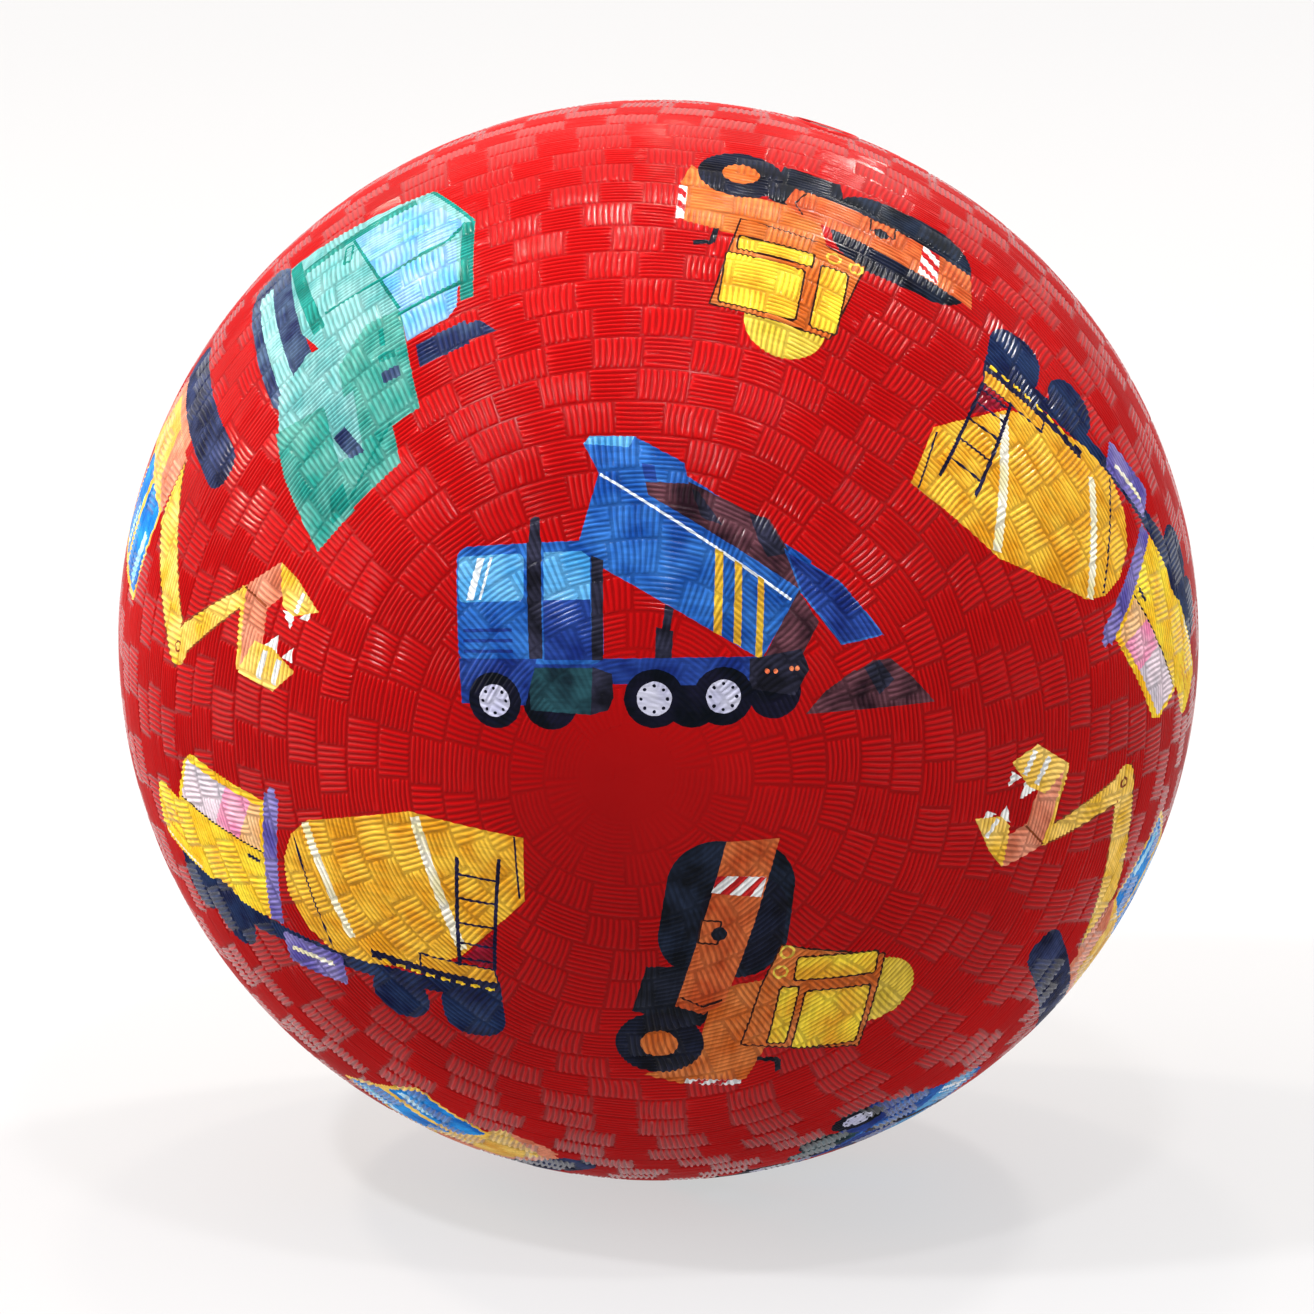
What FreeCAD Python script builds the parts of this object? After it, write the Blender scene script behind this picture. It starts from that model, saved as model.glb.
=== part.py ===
import FreeCAD, Part
import math
import os
import Sketcher

# Inflated rubber playground ball: a moulded cover over an airtight bladder, closed by a push-in valve.
# The origin is the centre of the ball and +Z is up as it lies on the ground. Millimetres.
# Every piece is turned about the valve's own axis, which runs from the ball's centre through the
# valve, and its Placement then leans that axis away from +Z.

DIMENSIONS = [
    ("ball_diameter", 178.0, "outside diameter, inflated"),
    ("cover_wall", 1.5, "wall of the moulded cover"),
    ("bladder_wall", 0.7, "wall of the airtight bladder"),
    ("patch_diameter", 34.0, "reinforcing disc round the valve"),
    ("patch_thickness", 0.5, "thickness of the reinforcing disc"),
    ("flange_diameter", 22.0, "flange of the valve housing"),
    ("flange_thickness", 1.0, "thickness of the flange"),
    ("neck_diameter", 10.4, "neck of the housing, through the walls"),
    ("dish_depth", 0.7, "how far the neck's face lies under the ball's surface"),
    ("boss_diameter", 9.0, "boss of the housing, inside the ball"),
    ("boss_length", 9.0, "reach of the boss past the neck's face"),
    ("stem_diameter", 4.8, "stem of the valve core, and its bore"),
    ("head_diameter", 5.8, "button head of the valve core"),
    ("head_seat", 1.1, "depth of the head's seat under the neck's face"),
    ("head_rise", 0.5, "how far the head stands above the neck's face"),
    ("foot_diameter", 6.8, "barbed foot that keeps the core in"),
    ("foot_tip_diameter", 3.4, "end of the foot's taper"),
    ("foot_length", 2.6, "length of the foot"),
    ("pilot_diameter", 2.1, "needle hole in the valve core"),
    ("pilot_depth", 6.0, "depth of the needle hole, under the head"),
    ("lead_in", 0.4, "bevel at the mouth of the needle hole"),
    ("edge_round", 0.3, "round on the head's rim and on the boss's end"),
]

VALVE_LEAN = 21.0  # degrees between the valve's axis and +Z
VALVE_HEADING = 30.0  # degrees from +X towards +Y, the side that the valve leans to

ORIGIN = -1  # Sketcher's number for the sketch's own origin and horizontal axis
V_AXIS = -2  # Sketcher's number for the sketch's vertical axis
START, END, CENTRE = 1, 2, 3  # Sketcher's numbers for a curve's points
PLANE_NORMAL = FreeCAD.Vector(0, 0, 1)


def make_sheet(doc):
    """The sheet of driving dimensions, one row each: name, number, meaning."""
    sheet = doc.addObject("Spreadsheet::Sheet", "Dimensions")
    for row, (alias, number, meaning) in enumerate(DIMENSIONS, start=1):
        sheet.set(f"A{row}", alias)
        sheet.set(f"B{row}", str(number))
        sheet.setAlias(f"B{row}", alias)
        sheet.set(f"C{row}", meaning)
    doc.recompute()
    return sheet


def point(x, y):
    return FreeCAD.Vector(x, y, 0)


def height_on(radius, out):
    """Height above the centre of a point that lies out from the axis, on a sphere of that radius."""
    return math.sqrt(radius**2 - out**2)


def make_body(doc, name):
    body = doc.addObject("PartDesign::Body", name)
    body.Label = name
    return body


def make_profile(body, name):
    """An empty sketch on the body's XZ plane, where the sketch's vertical axis is the valve's axis."""
    sketch = body.newObject("Sketcher::SketchObject", name)
    plane = next(p for p in body.Origin.OriginFeatures if p.Role == "XZ_Plane")
    sketch.AttachmentSupport = (plane, "")
    sketch.MapMode = "FlatFace"
    return sketch


def add_line(sketch, start, end):
    return sketch.addGeometry(Part.LineSegment(point(*start), point(*end)), False)


def add_arc(sketch, radius, start, end):
    """An arc about the ball's centre, anticlockwise from start to end."""
    circle = Part.Circle(point(0, 0), PLANE_NORMAL, radius)
    turn_start = math.atan2(start[1], start[0])
    turn_end = math.atan2(end[1], end[0])
    index = sketch.addGeometry(Part.ArcOfCircle(circle, turn_start, turn_end), False)
    sketch.addConstraint(Sketcher.Constraint("Coincident", index, CENTRE, ORIGIN, START))
    return index


def join(sketch, first, first_end, second, second_end):
    sketch.addConstraint(Sketcher.Constraint("Coincident", first, first_end, second, second_end))


def drive(sketch, constraint, name, formula):
    """Adds a dimension to the sketch and binds it to the sheet."""
    index = sketch.addConstraint(constraint)
    sketch.renameConstraint(index, name)
    sketch.setExpression(f"Constraints.{name}", formula)


def drive_radius(sketch, arc, size, name, formula):
    drive(sketch, Sketcher.Constraint("Radius", arc, size), name, formula)


def drive_out(sketch, curve, end, size, name, formula):
    """Distance of a point from the axis."""
    drive(sketch, Sketcher.Constraint("DistanceX", ORIGIN, START, curve, end, size), name, formula)


def drive_height(sketch, curve, end, size, name, formula):
    """Height of a point above the ball's centre."""
    drive(sketch, Sketcher.Constraint("DistanceY", ORIGIN, START, curve, end, size), name, formula)


def upright(sketch, *lines):
    for line in lines:
        sketch.addConstraint(Sketcher.Constraint("Vertical", line))


def level(sketch, *lines):
    for line in lines:
        sketch.addConstraint(Sketcher.Constraint("Horizontal", line))


def revolve(body, sketch, name):
    feature = body.newObject("PartDesign::Revolution", name)
    feature.Profile = sketch
    feature.ReferenceAxis = (sketch, ["V_Axis"])
    feature.Angle = 360.0
    sketch.Visibility = False
    return feature


def round_edges(body, base, circles, size_formula, name):
    """Rounds the circular edges of base that have these radii and heights above the centre."""
    body.Document.recompute()
    chosen = []
    for index, edge in enumerate(base.Shape.Edges, start=1):
        for radius, height in circles:
            curve = edge.Curve
            if not isinstance(curve, Part.Circle):
                continue
            if math.isclose(curve.Radius, radius, abs_tol=1e-4) and math.isclose(
                curve.Center.z, height, abs_tol=1e-4
            ):
                chosen.append(f"Edge{index}")
    assert len(chosen) == len(circles), f"{name}: found {len(chosen)} of {len(circles)} edges"
    fillet = body.newObject("PartDesign::Fillet", name)
    fillet.Base = (base, chosen)
    fillet.setExpression("Radius", size_formula)
    return fillet


def spherical_shell(doc, name, outer, outer_formula, inner, inner_formula, hole, hole_formula):
    """A whole hollow sphere with one round hole, where the valve comes through."""
    body = make_body(doc, name)
    sketch = make_profile(body, f"{name}_profile")
    outside = add_arc(sketch, outer, (0, -outer), (hole, height_on(outer, hole)))
    hole_wall = add_line(sketch, (hole, height_on(outer, hole)), (hole, height_on(inner, hole)))
    inside = add_arc(sketch, inner, (0, -inner), (hole, height_on(inner, hole)))
    far_side = add_line(sketch, (0, -inner), (0, -outer))
    join(sketch, outside, END, hole_wall, START)
    join(sketch, hole_wall, END, inside, END)
    join(sketch, inside, START, far_side, START)
    join(sketch, far_side, END, outside, START)
    upright(sketch, hole_wall)
    sketch.addConstraint(Sketcher.Constraint("PointOnObject", far_side, START, V_AXIS))
    sketch.addConstraint(Sketcher.Constraint("PointOnObject", far_side, END, V_AXIS))
    drive_radius(sketch, outside, outer, "outer_radius", outer_formula)
    drive_radius(sketch, inside, inner, "inner_radius", inner_formula)
    drive_out(sketch, hole_wall, START, hole, "hole_radius", hole_formula)
    revolve(body, sketch, f"{name}_turned")
    return body


def make_cover(doc, sizes):
    """The moulded cover that carries the tread and the print."""
    outer = sizes.ball_diameter / 2
    return spherical_shell(
        doc,
        "cover",
        outer,
        "Dimensions.ball_diameter / 2",
        outer - sizes.cover_wall,
        "Dimensions.ball_diameter / 2 - Dimensions.cover_wall",
        sizes.neck_diameter / 2,
        "Dimensions.neck_diameter / 2",
    )


def make_bladder(doc, sizes):
    """The airtight bladder, bonded to the inside of the cover."""
    outer = sizes.ball_diameter / 2 - sizes.cover_wall
    return spherical_shell(
        doc,
        "bladder",
        outer,
        "Dimensions.ball_diameter / 2 - Dimensions.cover_wall",
        outer - sizes.bladder_wall,
        "Dimensions.ball_diameter / 2 - Dimensions.cover_wall - Dimensions.bladder_wall",
        sizes.neck_diameter / 2,
        "Dimensions.neck_diameter / 2",
    )


def make_valve_patch(doc, sizes):
    """The reinforcing disc under the bladder, a washer that follows the curve of the wall."""
    outer = sizes.ball_diameter / 2 - sizes.cover_wall - sizes.bladder_wall
    inner = outer - sizes.patch_thickness
    hole = sizes.neck_diameter / 2
    rim = sizes.patch_diameter / 2
    outer_formula = "Dimensions.ball_diameter / 2 - Dimensions.cover_wall - Dimensions.bladder_wall"

    body = make_body(doc, "valve_patch")
    sketch = make_profile(body, "valve_patch_profile")
    top = add_arc(sketch, outer, (rim, height_on(outer, rim)), (hole, height_on(outer, hole)))
    hole_wall = add_line(sketch, (hole, height_on(outer, hole)), (hole, height_on(inner, hole)))
    under = add_arc(sketch, inner, (rim, height_on(inner, rim)), (hole, height_on(inner, hole)))
    rim_wall = add_line(sketch, (rim, height_on(inner, rim)), (rim, height_on(outer, rim)))
    join(sketch, top, END, hole_wall, START)
    join(sketch, hole_wall, END, under, END)
    join(sketch, under, START, rim_wall, START)
    join(sketch, rim_wall, END, top, START)
    upright(sketch, hole_wall, rim_wall)
    drive_radius(sketch, top, outer, "outer_radius", outer_formula)
    drive_radius(sketch, under, inner, "inner_radius", f"{outer_formula} - Dimensions.patch_thickness")
    drive_out(sketch, hole_wall, START, hole, "hole_radius", "Dimensions.neck_diameter / 2")
    drive_out(sketch, rim_wall, START, rim, "rim_radius", "Dimensions.patch_diameter / 2")
    revolve(body, sketch, "valve_patch_turned")
    return body


def make_valve_housing(doc, sizes):
    """The rubber housing bonded under the patch: a neck through the walls, a flange and a bored boss."""
    face = sizes.ball_diameter / 2 - sizes.dish_depth
    shoulder = (
        sizes.ball_diameter / 2 - sizes.cover_wall - sizes.bladder_wall - sizes.patch_thickness
    )
    flange_under = shoulder - sizes.flange_thickness
    neck = sizes.neck_diameter / 2
    rim = sizes.flange_diameter / 2
    boss = sizes.boss_diameter / 2
    bore = sizes.stem_diameter / 2
    seat = sizes.head_diameter / 2
    seat_height = face - sizes.head_seat
    boss_end = face - sizes.boss_length
    face_formula = "Dimensions.ball_diameter / 2 - Dimensions.dish_depth"
    shoulder_formula = (
        "Dimensions.ball_diameter / 2 - Dimensions.cover_wall - Dimensions.bladder_wall"
        " - Dimensions.patch_thickness"
    )

    body = make_body(doc, "valve_housing")
    sketch = make_profile(body, "valve_housing_profile")
    neck_face = add_arc(sketch, face, (neck, height_on(face, neck)), (seat, height_on(face, seat)))
    seat_wall = add_line(sketch, (seat, height_on(face, seat)), (seat, seat_height))
    seat_floor = add_line(sketch, (seat, seat_height), (bore, seat_height))
    bore_wall = add_line(sketch, (bore, seat_height), (bore, boss_end))
    boss_floor = add_line(sketch, (bore, boss_end), (boss, boss_end))
    boss_wall = add_line(sketch, (boss, boss_end), (boss, height_on(flange_under, boss)))
    flange_back = add_arc(
        sketch,
        flange_under,
        (rim, height_on(flange_under, rim)),
        (boss, height_on(flange_under, boss)),
    )
    flange_rim = add_line(
        sketch, (rim, height_on(flange_under, rim)), (rim, height_on(shoulder, rim))
    )
    flange_top = add_arc(
        sketch, shoulder, (rim, height_on(shoulder, rim)), (neck, height_on(shoulder, neck))
    )
    neck_wall = add_line(
        sketch, (neck, height_on(shoulder, neck)), (neck, height_on(face, neck))
    )
    join(sketch, neck_face, END, seat_wall, START)
    join(sketch, seat_wall, END, seat_floor, START)
    join(sketch, seat_floor, END, bore_wall, START)
    join(sketch, bore_wall, END, boss_floor, START)
    join(sketch, boss_floor, END, boss_wall, START)
    join(sketch, boss_wall, END, flange_back, END)
    join(sketch, flange_back, START, flange_rim, START)
    join(sketch, flange_rim, END, flange_top, START)
    join(sketch, flange_top, END, neck_wall, START)
    join(sketch, neck_wall, END, neck_face, START)
    upright(sketch, seat_wall, bore_wall, boss_wall, flange_rim, neck_wall)
    level(sketch, seat_floor, boss_floor)
    drive_radius(sketch, neck_face, face, "face_radius", face_formula)
    drive_radius(sketch, flange_top, shoulder, "shoulder_radius", shoulder_formula)
    drive_radius(
        sketch,
        flange_back,
        flange_under,
        "flange_back_radius",
        f"{shoulder_formula} - Dimensions.flange_thickness",
    )
    drive_out(sketch, neck_wall, START, neck, "neck_radius", "Dimensions.neck_diameter / 2")
    drive_out(sketch, flange_rim, START, rim, "rim_radius", "Dimensions.flange_diameter / 2")
    drive_out(sketch, boss_wall, START, boss, "boss_radius", "Dimensions.boss_diameter / 2")
    drive_out(sketch, bore_wall, START, bore, "bore_radius", "Dimensions.stem_diameter / 2")
    drive_out(sketch, seat_wall, START, seat, "seat_radius", "Dimensions.head_diameter / 2")
    drive_height(
        sketch, bore_wall, START, seat_height, "seat_height", f"{face_formula} - Dimensions.head_seat"
    )
    drive_height(
        sketch, boss_wall, START, boss_end, "boss_end", f"{face_formula} - Dimensions.boss_length"
    )
    turned = revolve(body, sketch, "valve_housing_turned")
    rounded = round_edges(
        body, turned, [(boss, boss_end)], "Dimensions.edge_round", "valve_housing_rounded"
    )
    body.Tip = rounded
    return body


def make_valve_core(doc, sizes):
    """The self-sealing rubber plug: a button head, a stem, a barbed foot and a blind needle hole."""
    face = sizes.ball_diameter / 2 - sizes.dish_depth
    head = sizes.head_diameter / 2
    stem = sizes.stem_diameter / 2
    foot = sizes.foot_diameter / 2
    tip = sizes.foot_tip_diameter / 2
    head_top = face + sizes.head_rise
    seat_height = face - sizes.head_seat
    boss_end = face - sizes.boss_length
    foot_end = boss_end - sizes.foot_length
    face_formula = "Dimensions.ball_diameter / 2 - Dimensions.dish_depth"

    body = make_body(doc, "valve_core")
    sketch = make_profile(body, "valve_core_profile")
    corners = [
        (0, head_top),
        (head, head_top),
        (head, seat_height),
        (stem, seat_height),
        (stem, boss_end),
        (foot, boss_end),
        (tip, foot_end),
        (0, foot_end),
    ]
    sides = [
        add_line(sketch, corner, corners[(index + 1) % len(corners)])
        for index, corner in enumerate(corners)
    ]
    for side, following in zip(sides, sides[1:] + sides[:1]):
        join(sketch, side, END, following, START)
    top, head_wall, head_under, stem_wall, foot_top, foot_taper, foot_floor, centre_line = sides
    level(sketch, top, head_under, foot_top, foot_floor)
    upright(sketch, head_wall, stem_wall)
    sketch.addConstraint(Sketcher.Constraint("PointOnObject", centre_line, START, V_AXIS))
    sketch.addConstraint(Sketcher.Constraint("PointOnObject", centre_line, END, V_AXIS))
    drive_out(sketch, head_wall, START, head, "head_radius", "Dimensions.head_diameter / 2")
    drive_out(sketch, stem_wall, START, stem, "stem_radius", "Dimensions.stem_diameter / 2")
    drive_out(sketch, foot_taper, START, foot, "foot_radius", "Dimensions.foot_diameter / 2")
    drive_out(sketch, foot_taper, END, tip, "tip_radius", "Dimensions.foot_tip_diameter / 2")
    drive_height(
        sketch, top, START, head_top, "head_top", f"{face_formula} + Dimensions.head_rise"
    )
    drive_height(
        sketch, stem_wall, START, seat_height, "seat_height", f"{face_formula} - Dimensions.head_seat"
    )
    drive_height(
        sketch, stem_wall, END, boss_end, "boss_end", f"{face_formula} - Dimensions.boss_length"
    )
    drive_height(
        sketch,
        foot_taper,
        END,
        foot_end,
        "foot_end",
        f"{face_formula} - Dimensions.boss_length - Dimensions.foot_length",
    )
    turned = revolve(body, sketch, "valve_core_turned")
    rounded = round_edges(
        body, turned, [(head, head_top)], "Dimensions.edge_round", "valve_core_rounded"
    )
    bored = cut_needle_hole(body, sizes, head_top)
    body.Document.recompute()
    assert bored.Shape.Volume < rounded.Shape.Volume - 1, "the needle hole cut nothing"
    body.Tip = bored
    return body


def cut_needle_hole(body, sizes, head_top):
    """The blind hole that an inflating needle is pushed into, with a bevelled mouth."""
    pilot = sizes.pilot_diameter / 2
    mouth = pilot + sizes.lead_in
    floor = head_top - sizes.pilot_depth
    top_formula = (
        "Dimensions.ball_diameter / 2 - Dimensions.dish_depth + Dimensions.head_rise"
    )

    sketch = make_profile(body, "needle_hole_profile")
    corners = [
        (0, head_top),
        (0, floor),
        (pilot, floor),
        (pilot, head_top - sizes.lead_in),
        (mouth, head_top),
    ]
    sides = [
        add_line(sketch, corner, corners[(index + 1) % len(corners)])
        for index, corner in enumerate(corners)
    ]
    for side, following in zip(sides, sides[1:] + sides[:1]):
        join(sketch, side, END, following, START)
    centre_line, hole_floor, hole_wall, bevel, hole_top = sides
    level(sketch, hole_floor, hole_top)
    upright(sketch, hole_wall)
    sketch.addConstraint(Sketcher.Constraint("PointOnObject", centre_line, START, V_AXIS))
    sketch.addConstraint(Sketcher.Constraint("PointOnObject", centre_line, END, V_AXIS))
    drive_out(sketch, hole_wall, START, pilot, "pilot_radius", "Dimensions.pilot_diameter / 2")
    drive_out(
        sketch, bevel, END, mouth, "mouth_radius", "Dimensions.pilot_diameter / 2 + Dimensions.lead_in"
    )
    drive_height(sketch, hole_top, START, head_top, "head_top", top_formula)
    drive_height(
        sketch, hole_wall, START, floor, "floor_height", f"{top_formula} - Dimensions.pilot_depth"
    )
    drive_height(
        sketch,
        hole_wall,
        END,
        head_top - sizes.lead_in,
        "bevel_height",
        f"{top_formula} - Dimensions.lead_in",
    )
    groove = body.newObject("PartDesign::Groove", "needle_hole")
    groove.Profile = sketch
    groove.ReferenceAxis = (sketch, ["V_Axis"])
    groove.Angle = 360.0
    sketch.Visibility = False
    return groove


def valve_placement():
    """Leans a piece's own Z axis to where the valve lies on the ball."""
    heading = FreeCAD.Rotation(FreeCAD.Vector(0, 0, 1), VALVE_HEADING)
    lean = FreeCAD.Rotation(FreeCAD.Vector(0, 1, 0), VALVE_LEAN)
    return FreeCAD.Placement(FreeCAD.Vector(0, 0, 0), heading * lean)


def check_document(doc):
    """Stops if any object failed or any sketch still has a freedom left."""
    for item in doc.Objects:
        bad = {"Invalid", "Error"} & set(item.State)
        assert not bad, f"{item.Label} is {sorted(bad)}"
        if item.TypeId == "Sketcher::SketchObject":
            assert item.solve() == 0, f"{item.Label} doesn't solve"
            assert item.FullyConstrained, f"{item.Label} isn't fully constrained"


def write_parts(bodies):
    os.makedirs("parts", exist_ok=True)
    for body in bodies:
        shape = body.Shape
        assert not shape.isNull() and shape.isValid(), f"{body.Label} has no valid shape"
        assert len(shape.Solids) == 1, f"{body.Label} isn't one solid"
        shape.exportStep(f"parts/{body.Label}.step")
        print(f"{body.Label}: {shape.Volume:.1f} mm3")


def main():
    doc = FreeCAD.newDocument("playground_ball")
    sizes = make_sheet(doc)
    bodies = [
        make_cover(doc, sizes),
        make_bladder(doc, sizes),
        make_valve_patch(doc, sizes),
        make_valve_housing(doc, sizes),
        make_valve_core(doc, sizes),
    ]
    placement = valve_placement()
    for body in bodies:
        body.Placement = placement
    doc.recompute()
    check_document(doc)
    write_parts(bodies)


main()
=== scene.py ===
"""A playground ball: red rubber cover with moulded weave ridges and printed building vehicles."""

import math
from collections import namedtuple

import bpy
import numpy as np
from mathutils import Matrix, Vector
from mathutils.geometry import delaunay_2d_cdt


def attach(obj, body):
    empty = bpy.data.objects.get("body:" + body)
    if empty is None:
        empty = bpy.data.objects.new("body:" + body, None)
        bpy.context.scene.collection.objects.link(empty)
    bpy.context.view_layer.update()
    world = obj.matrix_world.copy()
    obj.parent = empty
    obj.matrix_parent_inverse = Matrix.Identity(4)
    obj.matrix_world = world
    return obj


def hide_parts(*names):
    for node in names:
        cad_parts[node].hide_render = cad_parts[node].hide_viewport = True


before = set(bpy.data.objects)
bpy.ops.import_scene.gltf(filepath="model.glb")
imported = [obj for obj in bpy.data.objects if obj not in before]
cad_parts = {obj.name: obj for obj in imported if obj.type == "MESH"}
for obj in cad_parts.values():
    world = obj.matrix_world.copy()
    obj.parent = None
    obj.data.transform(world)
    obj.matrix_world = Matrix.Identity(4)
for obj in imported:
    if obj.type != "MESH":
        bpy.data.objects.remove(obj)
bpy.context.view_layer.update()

MM = 0.001
TAU = 2 * math.pi

# Cover surface, mm from the ball's centre
CREST_RADIUS = 89.0
BASE_RADIUS = 88.64
INNER_RADIUS = 87.5
RIDGE_DEPTH = CREST_RADIUS - BASE_RADIUS
SEAM_RISE = 0.12

# Mould axis: the weave runs in rings round this direction
POLE_AZIMUTH = -3.0
POLE_ELEVATION = 1.0

# Valve axis: leans from vertical toward a heading
VALVE_LEAN = 21.0
VALVE_HEADING = 30.0
HOLE_CLEAR = 6.0
HOLE_RADIUS = 5.2
FLAT_WITHIN = 6.4
FULL_BEYOND = 7.4
RING_POINTS = 72
LIP = [(5.9, 0.0), (5.6, 0.34), (5.35, 0.38), (5.2, 0.15)]

# Weave layout
ROWS = 46
CAP_ANGLE = math.radians(1.2)
PATCH_ANGLE = math.radians(5.0)
PATCH_GAP = 0.1
EDGE_STEP = 1.6
RING_RIDGES = 7
MERIDIAN_RIDGES = 8
ACROSS_STEPS = (-0.5, -0.36, -0.19, 0.0, 0.19, 0.36)
ACROSS_RISE = (0.0, 0.06, 0.76, 1.0, 0.76, 0.06)
ALONG_STEPS = (0.0, 0.025, 0.08, 0.36, 0.64, 0.92, 0.975, 1.0)
ALONG_RISE = (0.0, 0.7, 1.0, 1.0, 1.0, 1.0, 0.7, 0.0)
JOIN_CHANCE = 0.125
JOIN_RISE = 0.75
JOIN_SHOULDER = 0.35
PANELS = 12
SEED = 11

# Limits of the chance differences between ridges, as shares of a patch, a ridge or full height
START = (0.0, 0.025)
STOP = (0.975, 1.0)
WAVES = (0.5, 1.3)
SWING = (0.02, 0.09)
BEND = (-0.25, 0.25)
SKEW = (-0.015, 0.015)
RIDGE_STRENGTH = (0.75, 1.0)
PATCH_STRENGTH = (0.8, 1.0)

# Share of the ridges' height that stands, by degrees from the nearer mould pole
FADE_ANGLES = (4, 9, 15, 32, 56, 74, 84)
FADE_SHARES = (0.0, 0.2, 0.5, 1.0, 1.0, 0.65, 0.4)
FADED_RISE = 0.15

# Slack in radians when longitudes are matched
MATCH_SLACK = 1e-5
WRAP_SLACK = 1e-4


def direction(azimuth, elevation):
    """Unit vector: azimuth 0 faces -Y and grows toward +X, elevation grows toward +Z."""
    a = math.radians(azimuth)
    e = math.radians(elevation)
    return np.array([math.sin(a) * math.cos(e), -math.cos(a) * math.cos(e), math.sin(e)])


def unit(v):
    return v / np.linalg.norm(v)


def valve_direction():
    lean = math.radians(VALVE_LEAN)
    heading = math.radians(VALVE_HEADING)
    side = math.sin(lean)
    return np.array([side * math.cos(heading), side * math.sin(heading), math.cos(lean)])


POLE = direction(POLE_AZIMUTH, POLE_ELEVATION)
VALVE = valve_direction()
MOULD_X = unit(VALVE - VALVE.dot(POLE) * POLE)
MOULD_Y = np.cross(POLE, MOULD_X)

# Slow drift that keeps the rings and patches from being perfectly regular
DRIFT_SEED = 5
DRIFT_WAVES = 5
DRIFT_PER_RADIAN = 17.0
DRIFT_SIZE = 0.007


def make_drift():
    rng = np.random.default_rng(DRIFT_SEED)
    waves = rng.normal(size=(DRIFT_WAVES, 3))
    waves *= DRIFT_PER_RADIAN / np.linalg.norm(waves, axis=1, keepdims=True)
    phases = rng.uniform(0, TAU, DRIFT_WAVES)
    pushes = rng.normal(size=(DRIFT_WAVES, 3)) * DRIFT_SIZE / math.sqrt(3)
    return waves, phases, pushes


DRIFT = make_drift()


def drifted(directions):
    """Unit vectors pushed a little sideways, smoothly over the ball."""
    waves, phases, pushes = DRIFT
    moved = directions + np.sin(directions @ waves.T + phases) @ pushes
    return moved / np.linalg.norm(moved, axis=-1, keepdims=True)


def mould_point(theta, phi, radius):
    """Points in mm from angles round the mould axis; arrays broadcast together."""
    theta, phi, radius = np.broadcast_arrays(theta, phi, radius)
    side = np.sin(theta)
    towards = (
        np.cos(theta)[..., None] * POLE
        + (side * np.cos(phi))[..., None] * MOULD_X
        + (side * np.sin(phi))[..., None] * MOULD_Y
    )
    return drifted(towards) * radius[..., None]


def mould_angles(points):
    """Angle from the pole and longitude of points."""
    length = np.linalg.norm(points, axis=-1)
    theta = np.arccos(np.clip(points @ POLE / length, -1, 1))
    phi = np.arctan2(points @ MOULD_Y, points @ MOULD_X)
    return theta, phi


# --- weave layout

Row = namedtuple("Row", "top bottom width offset count")
Patch = namedtuple("Patch", "row west ringwise panel outline params")


def make_rows(rng):
    """Rings of patches from pole to pole, each with an even number of patches."""
    rows = []
    height = (math.pi - 2 * CAP_ANGLE) / ROWS
    for i in range(ROWS):
        top = CAP_ANGLE + i * height
        around = TAU * math.sin(top + height / 2) / PATCH_ANGLE
        count = max(6, 2 * round(around / 2))
        width = TAU / count
        rows.append(Row(top, top + height, width, rng.uniform(0, width), count))
    return rows


class Points:
    """All points of the cover, in mm, collected in blocks."""

    def __init__(self):
        self.blocks = []
        self.count = 0

    def add(self, block):
        block = np.asarray(block, float).reshape(-1, 3)
        first = self.count
        self.blocks.append(block)
        self.count += len(block)
        return first

    def array(self):
        return np.concatenate(self.blocks)


def pole_fade(theta):
    """The ridges are faint round the mould poles and lower toward the mould's parting line."""
    from_pole = np.degrees(np.minimum(theta, math.pi - theta))
    return np.interp(from_pole, FADE_ANGLES, FADE_SHARES)


def valley_radius(theta):
    """Between the ridges the cover is low, and it rises a little where they fade."""
    return BASE_RADIUS + FADED_RISE * RIDGE_DEPTH * (1 - pole_fade(theta))


def circle_angles(theta, rows):
    """Longitudes of the points on the ring between two rows: every corner, and steps between."""
    corners = [row.offset + row.width * np.arange(row.count) for row in rows]
    corners = np.unique(np.round(np.concatenate(corners) % TAU, 7))
    gaps = np.diff(np.append(corners, corners[0] + TAU))
    steps = np.ceil(gaps * math.sin(theta) * BASE_RADIUS / EDGE_STEP).astype(int)
    pieces = [c + g * np.arange(s) / s for c, g, s in zip(corners, gaps, np.maximum(1, steps))]
    return np.concatenate(pieces)


def make_circles(rows, points):
    """Shared points on every ring between rows; the middle ring is raised as the mould seam."""
    circles = []
    for k in range(ROWS + 1):
        theta = rows[k].top if k < ROWS else rows[-1].bottom
        angles = circle_angles(theta, rows[max(0, k - 1) : k + 1])
        radius = valley_radius(theta) + (SEAM_RISE if k == ROWS // 2 else 0)
        first = points.add(mould_point(theta, angles, radius))
        circles.append((angles, first))
    return circles


def along_circle(circle, west, width):
    """Point numbers and fractions on a ring from a west longitude over a width."""
    angles, first = circle
    start = int(np.searchsorted(angles, west % TAU - MATCH_SLACK))
    end = int(np.searchsorted(angles, (west + width) % TAU - MATCH_SLACK))
    if end <= start:
        end += len(angles)
    picked = np.arange(start, end + 1) % len(angles)
    share = ((angles[picked] - west + WRAP_SLACK) % TAU - WRAP_SLACK) / width
    return first + picked, share


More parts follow.
